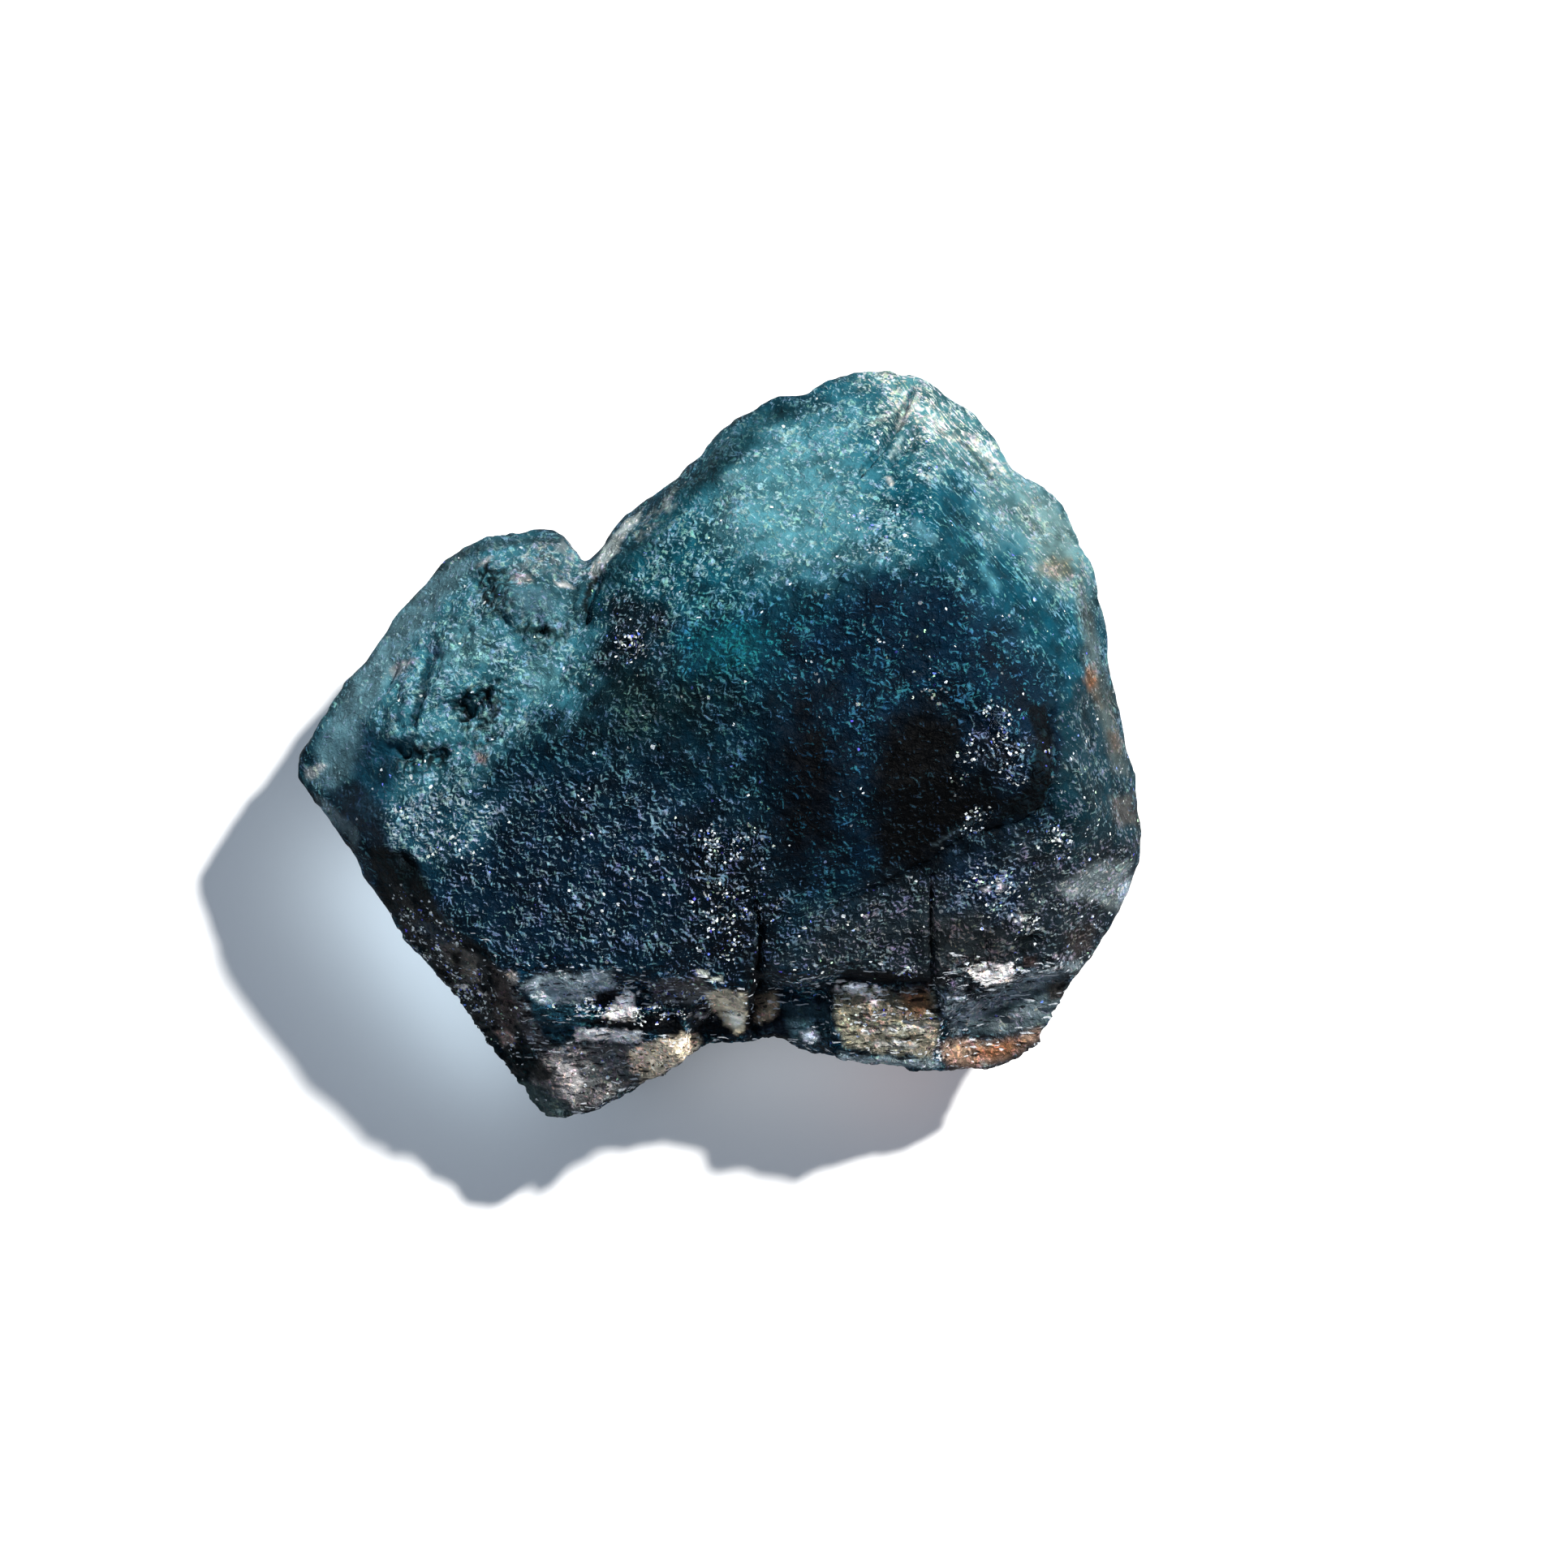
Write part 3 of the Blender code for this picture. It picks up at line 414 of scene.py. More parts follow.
# Cracks: name, width and depth in millimetres, and points.
CRACKS = (
    ("front split", 0.3, 0.7, ((930, 1282), (934, 1225), (937, 1180), (937, 1140), (930, 1110))),
    ("square crack", 0.2, 0.5, ((1149, 1220), (1148, 1150), (1147, 1080))),
    ("small crack", 0.16, 0.3, ((1218, 1196), (1217, 1160))),
    ("apex crack", 0.45, 0.6, ((1121, 480), (1104, 520), (1086, 552), (1056, 586))),
    ("apex branch", 0.32, 0.4, ((1126, 530), (1110, 556), (1094, 576))),
    ("beige block crack", 0.16, 0.3, ((884, 1246), (912, 1248))),
    ("ridge foot", 0.35, 0.25,
     ((1026, 1118), (1101, 1086), (1152, 1060), (1188, 1032), (1228, 1024), (1262, 1014))),
    ("plateau side", 0.3, 0.3, ((1297, 880), (1299, 930), (1299, 966), (1290, 994), (1262, 1012))),
    ("left groove", 0.6, 0.5, ((533, 806), (522, 832), (514, 868), (507, 894))),
    ("crest groove", 0.7, 0.25, ((584, 712), (606, 740), (624, 772))),
    ("notch wall", 0.6, 0.7, ((733, 708), (724, 730), (721, 762))),
)

# Pits: pixel of the middle, length and width in millimetres, turn in degrees and depth.
PITS = (
    ((588, 866), 2.3, 1.5, 35, 0.65),
    ((572, 882), 1.3, 0.9, 60, 0.5),
    ((604, 909), 1.4, 0.6, 20, 0.45),
    ((541, 932), 1.5, 0.9, 10, 0.6),
    ((506, 932), 1.7, 1.0, 170, 0.55),
    ((669, 777), 1.2, 0.9, 50, 0.65),
    ((628, 772), 0.8, 1.0, 20, 0.4),
    ((698, 780), 0.4, 1.2, 0, 0.35),
    ((610, 718), 1.6, 1.8, 20, 0.3),
    ((774, 798), 1.6, 1.3, 30, 0.3),
    ((774, 920), 0.5, 1.0, 0, 0.35),
    ((810, 921), 0.4, 0.7, 0, 0.3),
    ((1264, 1162), 1.6, 1.0, 10, 0.3),
)

# Clusters of grains that are made smooth as mirrors and also painted bright, as painted glints: centre,
# length, width, turn and the share of the grains that shine.
GLINTS = (
    ((1240, 900), 90, 40, -55, 0.75),
    ((1188, 945), 30, 95, -15, 0.45),
    ((895, 1040), 90, 50, 15, 0.6),
    ((900, 1130), 90, 110, 10, 0.45),
    ((774, 800), 44, 44, 0, 0.7),
    ((1200, 1014), 64, 30, 30, 0.75),
    ((1300, 1036), 44, 56, 0, 0.65),
    ((1222, 1094), 60, 44, 0, 0.65),
    ((1262, 1138), 50, 36, 0, 0.7),
    ((1114, 1196), 40, 20, 0, 0.7),
    ((1148, 838), 60, 70, 0, 0.35),
    ((1090, 640), 110, 90, -40, 0.25),
    ((1070, 1222), 90, 22, -8, 0.6),
    ((1230, 1200), 90, 32, -5, 0.6),
    ((588, 866), 60, 44, 25, 0.35),
    ((500, 950), 90, 40, 20, 0.3),
    ((550, 1030), 130, 60, -40, 0.35),
    ((1000, 1210), 60, 40, 0, 0.3),
    ((625, 1270), 40, 40, 0, 0.4),
    ((1140, 560), 60, 40, -40, 0.3),
    ((1110, 800), 130, 50, -20, 0.2),
    ((800, 1236), 250, 56, 0, 0.95),
    ((560, 1190), 260, 60, -52, 1.0),
    ((1090, 1256), 130, 80, 0, 0.45),
    ((735, 1326), 130, 70, 20, 0.45),
    ((1270, 1230), 120, 40, 20, 0.25),
)


# ---------------------------------------- the fine stone


def pixels(co):
    """The pixel that the camera sees each point at, where points are in millimetres."""
    nearer = CAMERA_ABOVE_GIRDLE_MM / (CAMERA_ABOVE_GIRDLE_MM - (co[:, 2] - GIRDLE_MM))
    u = FRAME_PX / 2 + (co[:, 0] - CAMERA_MM[0]) * PX_PER_MM * nearer
    v = FRAME_PX / 2 - (co[:, 1] - CAMERA_MM[1]) * PX_PER_MM * nearer
    return np.stack((u, v), axis=1)


def smoothstep(low, high, value):
    share = np.clip((value - low) / (high - low), 0.0, 1.0)
    return share * share * (3 - 2 * share)


def fractal(points, scale, octaves, seed):
    """Fractal noise at each point, where scale is the size of its largest lumps in millimetres."""
    shift = Vector((seed * 3.1, seed * 5.7, seed * 7.3))
    return np.array([noise.fractal(Vector(p) / scale + shift, 1.0, 2.0, octaves) for p in points])


def ellipse(uv, centre, length, width, turn):
    """How far each point is from an ellipse's middle, where 1 is on its edge. Turns are anticlockwise."""
    turn = math.radians(turn)
    d = (uv - np.array(centre)) * (1, -1)
    along = (d[:, 0] * math.cos(turn) + d[:, 1] * math.sin(turn)) / (length / 2)
    across = (d[:, 1] * math.cos(turn) - d[:, 0] * math.sin(turn)) / (width / 2)
    return np.sqrt(along**2 + across**2)


def line_distance(uv, line):
    """How far each point is from a line of points, and where along it the nearest point is, from 0 to 1."""
    line = np.array(line, float)
    best, where = np.full(len(uv), 1e9), np.zeros(len(uv))
    for i, (a, b) in enumerate(zip(line, line[1:])):
        along = b - a
        t = np.clip(((uv - a) @ along) / (along @ along), 0.0, 1.0)
        d = np.linalg.norm(uv - a - t[:, None] * along, axis=1)
        nearer = d < best
        best[nearer], where[nearer] = d[nearer], (i + t[nearer]) / (len(line) - 1)
    return best, where


def within(uv, outline, inner, outer):
    """1 inside an outline and 0 outside, with a soft edge from inner to outer pixels beyond the line."""
    distance, _ = line_distance(uv, outline + outline[:1])
    inside = np.zeros(len(uv), bool)
    for (ax, ay), (bx, by) in zip(outline, outline[1:] + outline[:1]):
        if ay != by:
            crosses = (ay > uv[:, 1]) != (by > uv[:, 1])
            inside ^= crosses & (uv[:, 0] < (bx - ax) * (uv[:, 1] - ay) / (by - ay) + ax)
    return 1 - smoothstep(inner, outer, np.where(inside, -distance, distance))


def placed(name, data):
    made = bpy.data.objects.new(name, data)
    bpy.context.scene.collection.objects.link(made)
    return made


def applied(obj):
    graph = bpy.context.evaluated_depsgraph_get()
    made = bpy.data.meshes.new_from_object(obj.evaluated_get(graph))
    obj.modifiers.clear()
    obj.data = made


def fine_stone():
    """The CAD solid with grains small enough to etch, and fewer of them underneath."""
    stone = placed("fluorite_stone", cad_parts[NODE].data.copy())
    grain = stone.modifiers.new("grain", "REMESH")
    grain.mode, grain.voxel_size = "VOXEL", VOXEL_MM * MM
    wear = stone.modifiers.new("wear", "SMOOTH")
    wear.factor, wear.iterations = 0.5, SMOOTH_ROUNDS
    applied(stone)
    below = [v.index for v in stone.data.vertices if v.co.z < UNDERSIDE_MM * MM]
    stone.vertex_groups.new(name="below").add(below, 1.0, "REPLACE")
    thin = stone.modifiers.new("thin underside", "DECIMATE")
    thin.vertex_group = "below"
    thin.ratio = 1 - (1 - UNDERSIDE_SHARE) * len(below) / len(stone.data.vertices)
    applied(stone)
    stone.vertex_groups.clear()
    for polygon in stone.data.polygons:
        polygon.use_smooth = True
    print("fine stone:", sum(len(p.vertices) - 2 for p in stone.data.polygons), "triangles")
    return stone


def points_of(mesh):
    """Places in millimetres and normals of a mesh's vertices."""
    co, normal = np.empty(len(mesh.vertices) * 3), np.empty(len(mesh.vertices) * 3)
    mesh.vertices.foreach_get("co", co)
    mesh.vertex_normals.foreach_get("vector", normal)
    return co.reshape(-1, 3) / MM, normal.reshape(-1, 3)


def relief(stone):
    """Etches the stone, and gives the rough and the fine noise that its colours follow as well."""
    mesh = stone.data
    co, normal = points_of(mesh)
    uv = pixels(co)
    up = np.clip(normal[:, 2], 0.0, 1.0)
    above = smoothstep(*ETCHED_FROM_MM, co[:, 2])
    rough, fine = fractal(co, ROUGH_MM, 2, 2), fractal(co, FINE_MM, 1, 3)

    smooth = np.zeros(len(co))
    for name, _, _, _, outline in FACES:
        if name in SMOOTH_FACES:
            smooth = np.maximum(smooth, within(uv, outline, -4, 8))
    smooth *= above
    etched = (1 - smooth) * above

    # Hummocks and hillocks.
    outlines = {zone[0]: zone[-1] for zone in ZONES}
    shift = HUMMOCK_HEIGHT * fractal(co, HUMMOCK_MM, 3, 1)
    shift += (ROUGH_HEIGHT * rough + FINE_HEIGHT * fine) * (1 - 0.85 * smooth)
    shift += (ROUGH_LEFT * rough + FINE_LEFT * fine) * within(uv, outlines["left crystal"], -20, 20) * etched

    for turn, spacing, height, zone in STRIATIONS:
        turn = math.radians(turn)
        across = co[:, 1] * math.cos(turn) - co[:, 0] * math.sin(turn)
        stripes = np.sin((across + 0.5 * rough) * 2 * math.pi / spacing)
        shift += height * stripes * within(uv, outlines[zone], -15, 25) * etched

    # Cleavage steps across the front, and small blocks.
    saw = (co[:, 1] + 0.05 * co[:, 0] + 0.5 * co[:, 2] + 0.5 * rough) / CLEAVAGE_MM
    shift += CLEAVAGE_HEIGHT * (saw - np.floor(saw) - 0.5) * smoothstep(*FRONT_STEPS_PX, uv[:, 1]) * etched
    blocks = np.array([noise.cell(Vector(p)) for p in (co + 0.25 * rough[:, None]) / BLOCK_MM])
    shift += BLOCK_HEIGHT * blocks * within(uv, BROKEN, -12, 12) * above

    for _, width, depth, line in CRACKS:
        distance, where = line_distance(uv, line)
        ragged = distance / PX_PER_MM + 0.10 * fine
        shift -= depth * (1 - smoothstep(0.0, 1.0, ragged / (width * (1.1 - 0.5 * where)))) * up
    for centre, length, width, turn, depth in PITS:
        reach = ellipse(uv, centre, length * PX_PER_MM, width * PX_PER_MM, turn)
        shift -= depth * (1 - smoothstep(0.35, 1.15, reach + 0.3 * rough + 0.25 * fine)) * up
    for centre, length, width, turn, share in GLINTS:
        reach = ellipse(uv, centre, length, width, turn)
        shift += GLINT_HEIGHT * share * fine * (1 - smoothstep(0.6, 1.2, reach)) * up

    shift *= smoothstep(*RESTING_MM, co[:, 2])
    low, high = (np.array(corner) / MM for corner in cad_box)
    co = np.clip(co + normal * shift[:, None], low + CLEARANCE_MM, high - CLEARANCE_MM)
    mesh.vertices.foreach_set("co", (co * MM).ravel())
    mesh.update()
    return rough, fine


def laid(values, mask, top):
    """Values with others laid over them, as thickly as the mask says."""
    return values + mask[:, None] * (np.array(top) - values)


def contrast(name, colour):
    """How dark the body of a face is for its colour, how light its flecks are, and their share of it."""
    flecks = 0.25 if name in SMOOTH_FACES else 0.5
    # Faces lighter than WHITE are painted highlights: glints of the sun, painted brighter still.
    if min(colour) > WHITE:
        return 1.2, 1.6, flecks
    if name in GRAINY_FACES:
        return 0.6, 1.4, flecks
    return (0.9, 1.25, flecks) if name in SMOOTH_FACES else (0.78, 1.22, flecks)


def paint(stone, rough, fine):
    """Writes each vertex's colours of the clear body and of the flecks, and how they share the surface."""
    co, normal = points_of(stone.data)
    uv = pixels(co)
    wide = np.stack((fractal(co, 2.2, 2, 8), fractal(co, 2.2, 2, 9)), axis=1)
    narrow = np.stack((rough, fine), axis=1)
    ragged = uv + wide * 26 + narrow * 12
    crisp = uv + wide * 2.5 + narrow * 4
    specks = smoothstep(-0.16, 0.12, fractal(co, 0.3, 1, 12))
    broken = within(ragged, BROKEN, -10, 10) * smoothstep(-0.2, 0.2, normal[:, 2])
    shaded = (1 + FRONT_SHADE * smoothstep(*FRONT_SHADE_PX, uv[:, 1]))[:, None]

    layers = [np.tile(start, (len(uv), 1)) for start in (rgb(PLAIN[0]), rgb(PLAIN[1]), PLAIN[2])]
    for _, soft, clear, frost, share, outline in ZONES:
        mask = within(ragged, outline, -soft, soft)
        layers = [laid(layer, mask, top) for layer, top in zip(layers, (rgb(clear), rgb(frost), share))]
    body, fleck, shares = layers
    for centre, length, width, turn, share in GLINTS:
        mask = 1 - smoothstep(0.5, 1.25, ellipse(crisp, centre, length, width, turn))
        shares[:, 1] += mask * np.maximum(0.0, share - shares[:, 1])
    for name, soft, colour, strength, outline in FACES:
        mask = strength * within(crisp, outline, -soft, soft * 0.6)
        if name in GRAINY_FACES:
            mask *= specks
        colour = rgb(colour)
        dark, light, flecks = contrast(name, colour)
        body, fleck = laid(body, mask, dark * shaded * colour), laid(fleck, mask, light * shaded * colour)
        broken *= 1 - (0.9 if name in SMOOTH_FACES or max(colour) < BLACK else 0.5) * mask
        shares[:, 0] += mask * (flecks - shares[:, 0])
        shares[:, 1] *= 1 - 0.4 * mask
    # Pits are painted nearly black: painted shade in the recesses.
    for centre, length, width, turn, depth in PITS:
        reach = ellipse(crisp, centre, length * PX_PER_MM, width * PX_PER_MM, turn)
        mask = min(1.0, depth * 1.7) * (1 - smoothstep(0.5, 1.25, reach)) * specks
        body = laid(body, mask, rgb(PIT_SHADE))
        shares[:, 0] *= 1 - 0.6 * mask
    for name, width, colour, strength, line in STROKES:
        distance, _ = line_distance(uv + narrow * 2.5, line)
        mask = strength * (1 - smoothstep(width * 0.5, width * 0.5 + 2.5, distance))
        if name.startswith("apex white") or "glint" in name:
            mask *= specks
        colour = np.array(rgb(colour))
        # Lines lighter than WHITE are painted highlights: glints of the sun, painted brighter still.
        colour *= 1.5 if min(colour) > WHITE else 1.0
        body, fleck = laid(body, mask, colour), laid(fleck, mask, colour)

    sides = 1 - smoothstep(-0.35, 0.05, normal[:, 2])
    body, fleck = laid(body, 0.7 * sides, rgb(SIDES[0])), laid(fleck, 0.7 * sides, rgb(SIDES[1]))
    shares = laid(shares, sides, SIDES[2])
    for name, values in (("body", body * SUNLIT), ("fleck", fleck * SUNLIT), ("shares", shares)):
        layer = stone.data.attributes.new(name, "FLOAT_VECTOR", "POINT")
        layer.data.foreach_set("vector", np.clip(values, 0.0, 1.0).astype(np.float32).ravel())
    layer = stone.data.attributes.new("broken", "FLOAT", "POINT")
    layer.data.foreach_set("value", broken.astype(np.float32))


# ---------------------------------------- materials

# Sizes in millimetres of the noise and of the cells that the skin is made of.
HILLOCK_MM, STREAK_MM, CLUMP_MM, PATCH_MM, DEPTH_MM, CHALK_MM = 0.36, 0.30, 0.6, 1.9, 1.6, 0.28
VIOLET_MM, BUNCH_MM, TINT_MM, BLOCK_CELL_MM, CHIP_CELL_MM, SPLINTER_MM = 1.1, 0.9, 0.24, 0.42, 0.17, 0.13
GRAIN_MM, LARGE_GRAIN_MM = 0.12, 0.19

STREAK_TURN = math.radians(52)
STREAK_SQUEEZE = (0.24, 1.0, 1.0)
ASIDE, ASIDE_STREAKS = (0.00007, 0.00007, 0.00004), (0.00002, -0.00007, 0.00004)  # metres, towards the sun
FACING = 2.2  # how strongly the flecks are painted on the sunny side of the hillocks: painted light
THIN_CHALK, THICK_CHALK = (0.26, 0.36, 0.40, 1.0), (2.20, 1.75, 1.64, 1.0)
VIOLET = (1.02, 0.74, 1.12, 1.0)
TINT, TINT_RANGE = (0.79, 0.88, 0.84), (0.42, 0.24, 0.38)
SPLINTER_BLACK, SPLINTER_GLINT = (2, 4, 9), (222, 228, 236)
BLOCK_SQUEEZE, SPLINTER_SQUEEZE = (0.55, 1.2, 1.0), (0.2, 1.4, 1.2)
GRAIN_SHARE, LARGE_GRAIN_SHARE, CHUNK_SHARE = 0.30, 0.065, 0.14
ELSEWHERE = (0.013, 0.007, 0.003)  # metres, so that large grains don't lie where small ones do
GRAIN_TILT, BLOCK_TILT, BUMP_M = 0.10, 0.2, 0.00022
CLEAR_ROUGHNESS, FROST_ROUGHNESS, MIRROR_ROUGHNESS = 0.62, 0.78, 0.15
# Colours of the painted glints on the bright grains, and where each is in their range: a few violet and
# green, most white.
PAINTED_GLINT_HUES = (
    (0.0, (110, 90, 255)), (0.14, (120, 160, 255)), (0.2, (220, 235, 250)), (0.9, (250, 255, 250)),
    (1.0, (190, 255, 200)),
)


class Net:
    """Builds a material's nodes."""

    def __init__(self, name):
        self.material = bpy.data.materials.new(name)
        self.material.use_nodes = True
        self.tree = self.material.node_tree
        self.shader = self.tree.nodes["Principled BSDF"]
        self.output = self.tree.nodes["Material Output"]

    def feed(self, socket, value):
        if isinstance(value, bpy.types.NodeSocket):
            self.tree.links.new(value, socket)
        else:
            socket.default_value = value

    def node(self, kind, inputs=(), **settings):
        made = self.tree.nodes.new("ShaderNode" + kind)
        for key, value in settings.items():
            setattr(made, key, value)
        for key, value in dict(inputs).items():
            self.feed(made.inputs[key], value)
        return made

    def math(self, operation, *values):
        return self.node("Math", dict(enumerate(values)), operation=operation).outputs[0]

    def plus(self, first, second):
        return self.math("ADD", first, second)

    def minus(self, first, second):
        return self.math("SUBTRACT", first, second)

    def times(self, first, second):
        return self.math("MULTIPLY", first, second)

    def vector(self, operation, *values):
        return self.node("VectorMath", dict(enumerate(values)), operation=operation).outputs["Vector"]

    def scaled(self, value, factor):
        made = self.node("VectorMath", {"Vector": value, "Scale": factor}, operation="SCALE")
        return made.outputs["Vector"]

    def noise(self, where, size, detail=2.0, roughness=0.5, curl=0.0, output="Fac"):
        """Noise with lumps of this size in millimetres."""
        made = self.node("TexNoise", {"Vector": where, "Scale": 1 / (size * MM), "Detail": detail})
        made.inputs["Roughness"].default_value, made.inputs["Distortion"].default_value = roughness, curl
        return made.outputs[output]

    def cells(self, where, size):
        return self.node("TexVoronoi", {"Vector": where, "Scale": 1 / (size * MM)}).outputs

    def ramp(self, value, low, high, bottom=0.0, top=1.0):
        inputs = {"Value": value, "From Min": low, "From Max": high, "To Min": bottom, "To Max": top}
        return self.node("MapRange", inputs, interpolation_type="SMOOTHSTEP").outputs["Result"]

    def between(self, share, first, second):
        return self.node("Mix", {"Factor": share, "A": first, "B": second}).outputs["Result"]

    def mix(self, share, first, second, blend="MIX"):
        """The same for colours, whose sockets go by number, as others have the same names."""
        made = self.node("Mix", {0: share, 6: first, 7: second}, data_type="RGBA", blend_type=blend)
        return made.outputs[2]

    def attribute(self, name, output="Vector"):
        return self.node("Attribute", attribute_name=name).outputs[output]

    def channels(self, colour):
        return self.node("SeparateColor", {"Color": colour}).outputs[:3]


def fluorite():
    """Clear blue-green fluorite under an etched skin of frosted flecks and mirror-smooth grains, with painted
    light and painted glints.
    """
    net = Net("fluorite_etched")
    where = net.node("TexCoord").outputs["Object"]
    flecks, glints, streaks = net.node("SeparateXYZ", {"Vector": net.attribute("shares")}).outputs
    front = net.attribute("broken", "Fac")

    # Etch hillocks, drawn out into streaks in places. Flecks are painted on the sunny side of each, as
    # painted light, with clumps and patches at random.
    turned = net.node("VectorRotate", {"Vector": where, "Angle": STREAK_TURN}, rotation_type="Z_AXIS")
    drawn = net.vector("MULTIPLY", turned.outputs[0], STREAK_SQUEEZE)

    def hillocks(place, stretched):
        plain = net.noise(place, HILLOCK_MM, 3.0, 0.64, 0.8)
        return net.between(net.times(streaks, 0.7), plain, net.noise(stretched, STREAK_MM, 3.0, 0.62, 0.6))

    height = hillocks(where, drawn)
    beside = hillocks(net.vector("ADD", where, ASIDE), net.vector("ADD", drawn, ASIDE_STREAKS))
    sunny = net.minus(height, beside)
    clumps = net.minus(net.noise(where, CLUMP_MM, 3.0, 0.6), 0.5)
    patches = net.minus(net.noise(where, PATCH_MM, 2.0, 0.6), 0.5)
    sunny_side_and_frost = net.plus(net.times(sunny, FACING), net.times(net.minus(height, 0.5), 0.5))
    sunny_side_and_frost = net.plus(sunny_side_and_frost, net.plus(clumps, net.times(patches, 0.8)))
    edge = net.minus(0.33, net.times(flecks, 0.66))
    fleck = net.ramp(sunny_side_and_frost, net.minus(edge, 0.08), net.plus(edge, 0.22))

    # The body is deeper in places. Flecks are whiter where they are thicker, and violet in dark zones.
    depth = net.ramp(net.noise(where, DEPTH_MM, 3.0, 0.62), 0.3, 0.7, 0.5, 1.5)
    chalk = net.mix(net.ramp(net.noise(where, CHALK_MM, 3.0, 0.75), 0.3, 0.7), THIN_CHALK, THICK_CHALK)
    violet = net.ramp(net.noise(where, VIOLET_MM, 2.0, 0.6), 0.48, 0.64, 0.0, 0.65)
    violet = net.times(violet, net.ramp(flecks, 0.28, 0.42, 1.0, 0.15))
    frost = net.mix(violet, net.attribute("fleck"), VIOLET, "MULTIPLY")
    grains = net.cells(where, TINT_MM)
    tints = net.vector("ADD", net.vector("MULTIPLY", grains["Color"], TINT_RANGE), TINT)
    frost = net.vector("MULTIPLY", net.mix(1.0, frost, tints, "MULTIPLY"), chalk)
    colour = net.mix(fleck, net.scaled(net.attribute("body"), depth), frost)

    def bent(size, reach, squeeze):
        """Places bent to and fro by noise, then squeezed, which draws the cells on them out."""
        moved = net.vector("ADD", where, net.scaled(net.noise(where, size, output="Color"), reach * MM))
        return net.vector("MULTIPLY", moved, squeeze)

    # Blocks of the broken front, from nearly black to bright.
    flat = bent(0.8, 0.3, BLOCK_SQUEEZE)
    blocks = net.cells(flat, BLOCK_CELL_MM)["Color"]
    block, chip = net.channels(blocks)[0], net.channels(net.cells(flat, CHIP_CELL_MM)["Color"])[1]
    shades = net.times(net.ramp(block, 0.1, 1.0, 0.25, 2.0), net.ramp(chip, 0.1, 1.0, 0.35, 2.1))
    colour = net.scaled(colour, net.between(net.times(front, 0.6), 1.0, shades))

    # Splinters that run across the front: some black, and some white as painted glints of the sun.
    splinter = net.channels(net.cells(bent(1.5, 0.5, SPLINTER_SQUEEZE), SPLINTER_MM)["Color"])[2]
    black = net.times(net.math("LESS_THAN", splinter, net.times(front, 0.2)), 0.85)
    white = net.times(net.math("GREATER_THAN", splinter, net.minus(1.0, net.times(front, 0.09))), 0.65)
    colour = net.mix(white, net.mix(black, colour, opaque(SPLINTER_BLACK)), opaque(SPLINTER_GLINT))

    # Painted glints: grains painted bright where the glints are, in bunches: cells of three sizes, each as
    # bright as chance has it.
    cells = net.cells(where, GRAIN_MM)
    pick, tint, lit = net.channels(cells["Color"])
    large = net.cells(net.vector("ADD", where, ELSEWHERE), LARGE_GRAIN_MM)
    large_pick, _, large_lit = net.channels(large["Color"])
    chunk_pick, _, chunk_lit = net.channels(grains["Color"])
    bunched = net.ramp(net.noise(where, BUNCH_MM, 3.0, 0.6), 0.42, 0.62, 0.04, 2.2)
    crowded = net.times(net.math("POWER", glints, 1.8), bunched)

    def shining(picked, strength, share):
        chosen = net.math("GREATER_THAN", picked, net.minus(1.0, net.times(crowded, share)))
        return net.times(chosen, net.ramp(strength, 0.2, 1.0, 0.15, 1.0))

    middle = net.math("LESS_THAN", grains["Distance"], 0.5)
    chunk = net.times(shining(chunk_pick, chunk_lit, CHUNK_SHARE), middle)
    small_or_large = shining(pick, lit, GRAIN_SHARE), shining(large_pick, large_lit, LARGE_GRAIN_SHARE)
    bright = net.math("MAXIMUM", net.math("MAXIMUM", *small_or_large), chunk)
    painted_glint_hue = net.node("ValToRGB", {"Fac": tint})
    stops = painted_glint_hue.color_ramp.elements
    stops.remove(stops[1])
    for stop, (position, shade) in enumerate(PAINTED_GLINT_HUES):
        (stops[0] if stop == 0 else stops.new(position)).color = opaque(shade)
    colour = net.mix(bright, colour, painted_glint_hue.outputs["Color"])
    net.feed(net.shader.inputs["Base Color"], colour)

    # Each grain looks its own way, the most where the glints are.
    tilt = net.scaled(net.vector("SUBTRACT", cells["Color"], (0.5, 0.5, 0.5)), net.plus(GRAIN_TILT, glints))
    broad = net.scaled(net.vector("SUBTRACT", blocks, (0.5, 0.5, 0.5)), BLOCK_TILT)
    tilted = net.vector("ADD", net.vector("ADD", net.node("NewGeometry").outputs["Normal"], tilt), broad)
    bump = {"Height": height, "Strength": 1.0, "Distance": BUMP_M, "Normal": net.vector("NORMALIZE", tilted)}
    net.feed(net.shader.inputs["Normal"], net.node("Bump", bump).outputs[0])
    frosted = net.ramp(fleck, 0.0, 1.0, CLEAR_ROUGHNESS, FROST_ROUGHNESS)
    shine = net.ramp(glints, 0.1, 0.7, 0.0, 0.85)
    net.feed(net.shader.inputs["Roughness"], net.between(shine, frosted, MIRROR_ROUGHNESS))
    net.shader.inputs["IOR"].default_value = 1.434
    net.shader.inputs["Specular IOR Level"].default_value = 0.02
    net.shader.inputs["Transmission Weight"].default_value = 0.1
    volume = net.node("VolumeAbsorption", {"Color": (0.10, 0.62, 0.74, 1.0), "Density": 220.0})
    net.tree.links.new(volume.outputs[0], net.output.inputs["Volume"])
    return net.material


def floor_material():
    net = Net("pale_floor")
    shade = net.ramp(net.noise(net.node("TexCoord").outputs["Object"], 30.0, 3.0), 0.3, 0.7)
    net.feed(net.shader.inputs["Base Color"], net.mix(shade, opaque(FLOOR_DARK), opaque(FLOOR_LIGHT)))
    net.shader.inputs["Roughness"].default_value = 0.7
    return net.material


# ---------------------------------------- stage

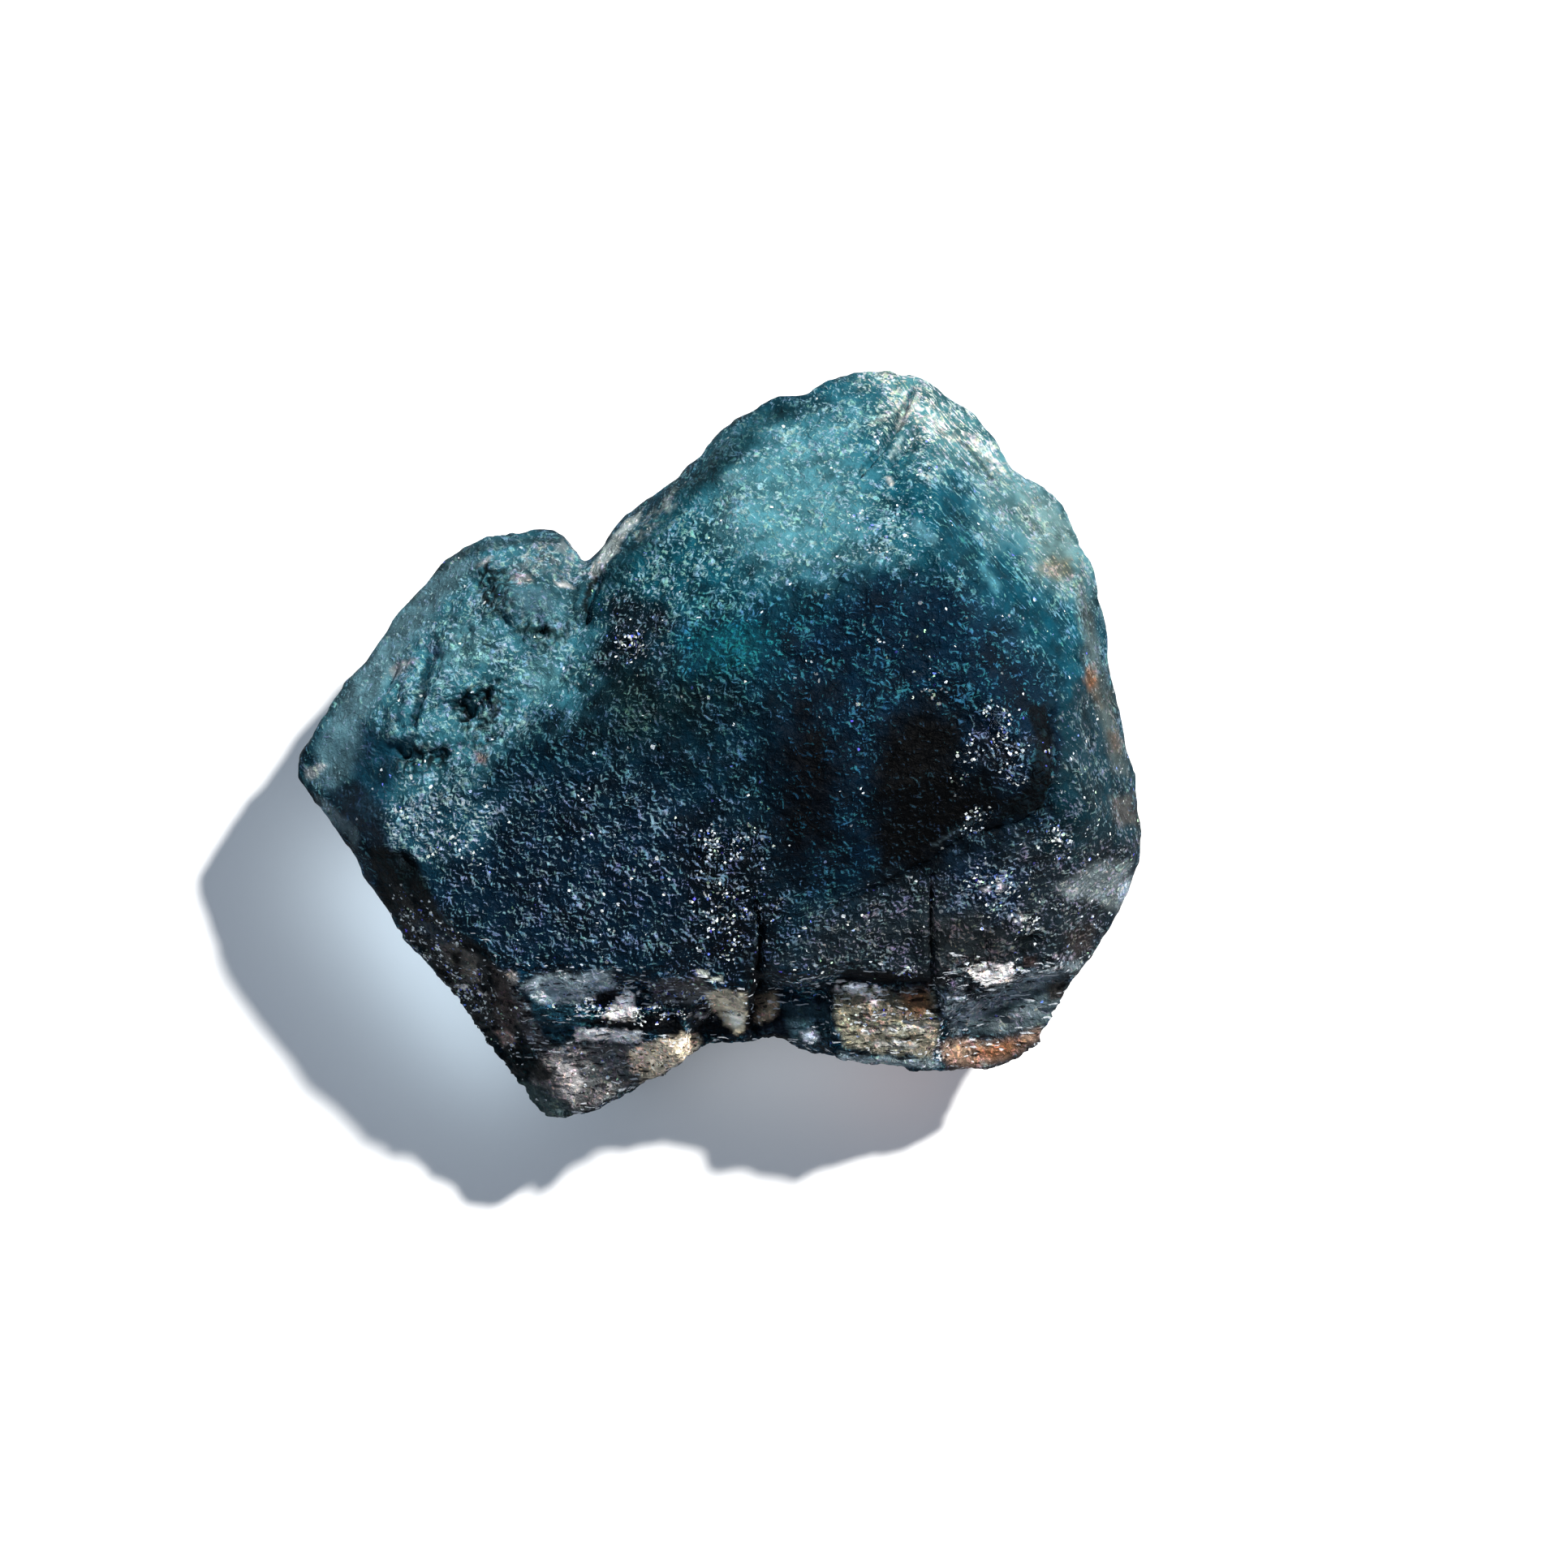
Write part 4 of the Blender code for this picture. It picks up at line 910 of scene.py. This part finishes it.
FLOOR_HALF_M = 1.5
FLOOR_DARK, FLOOR_LIGHT = (236, 237, 240), (240, 241, 243)
SKY, SKY_STRENGTH = (0.66, 0.78, 0.96, 1.0), 0.23

# Softboxes: name, direction, distance and size in metres, power and colour.
SOFTBOXES = (
    ("key", (0.70, 0.71, 1.0), 0.9, 0.06, 18.0, (1.0, 0.97, 0.92)),
    ("fill", (-0.7, -0.4, 1.3), 0.9, 0.7, 1.5, (0.80, 0.90, 1.0)),
)

# Light that comes through the stone to the floor beside it: pixel and height in millimetres of the middle of
# each patch of light, its length and width in millimetres, its turn, power and colour.
GLOWS = (
    ("glow by the long edge", (518, 1205, 4.5), (16.0, 3.0), -56, 0.00026, (0.74, 0.90, 1.0)),
    ("glow by the tip", (420, 1080, 6.0), (7.0, 5.0), -40, 0.00010, (0.84, 0.95, 1.0)),
    ("glow in front", (960, 1320, 5.0), (12.0, 3.0), 0, 0.00007, (0.95, 0.95, 0.95)),
    ("warm glow in front", (1130, 1340, 5.0), (8.0, 3.0), 10, 0.00004, (1.0, 0.55, 0.40)),
)


def stage():
    mesh = bpy.data.meshes.new("floor")
    corners = [(x * FLOOR_HALF_M, y * FLOOR_HALF_M, 0) for x, y in ((-1, -1), (1, -1), (1, 1), (-1, 1))]
    mesh.from_pydata(corners, [], [(0, 1, 2, 3)])
    mesh.materials.append(floor_material())
    floor = placed("floor", mesh)


def lamp(name, shape, length, width, power, colour):
    data = bpy.data.lights.new(name, "AREA")
    data.shape, data.size, data.size_y = shape, length, width
    data.energy, data.color = power, colour
    return placed(name, data)


def lights():
    for name, towards, distance, size, power, colour in SOFTBOXES:
        softbox = lamp(name, "DISK", size, size, power, colour)
        away = Vector(towards).normalized()
        softbox.location = away * distance
        softbox.rotation_euler = away.to_track_quat("Z", "Y").to_euler()
    for name, (u, v, height), (length, width), turn, power, colour in GLOWS:
        glow = lamp(name, "ELLIPSE", length * MM, width * MM, power, colour)
        x = CAMERA_MM[0] + (u - FRAME_PX / 2) / PX_PER_MM
        y = CAMERA_MM[1] - (v - FRAME_PX / 2) / PX_PER_MM
        glow.location = (x * MM, y * MM, height * MM)
        glow.rotation_euler = (0.0, 0.0, math.radians(turn))
        glow.visible_camera = glow.visible_glossy = glow.visible_transmission = False
    world = bpy.data.worlds.new("studio")
    world.use_nodes = True
    background = world.node_tree.nodes["Background"]
    background.inputs["Color"].default_value = SKY
    background.inputs["Strength"].default_value = SKY_STRENGTH
    bpy.context.scene.world = world


def camera():
    """A camera that isn't turned looks straight down."""
    data = bpy.data.cameras.new("camera")
    data.sensor_width = SENSOR_MM
    data.lens = SENSOR_MM * CAMERA_ABOVE_GIRDLE_MM / (FRAME_PX / PX_PER_MM)
    data.clip_start = 0.01
    made = placed("camera", data)
    made.location = (CAMERA_MM[0] * MM, CAMERA_MM[1] * MM, (GIRDLE_MM + CAMERA_ABOVE_GIRDLE_MM) * MM)
    bpy.context.scene.camera = made


stone = fine_stone()
paint(stone, *relief(stone))
stone.data.materials.clear()
stone.data.materials.append(fluorite())
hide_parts(NODE)
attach(stone, "root")
stage()
lights()
camera()
bpy.context.scene.view_settings.view_transform = "Standard"
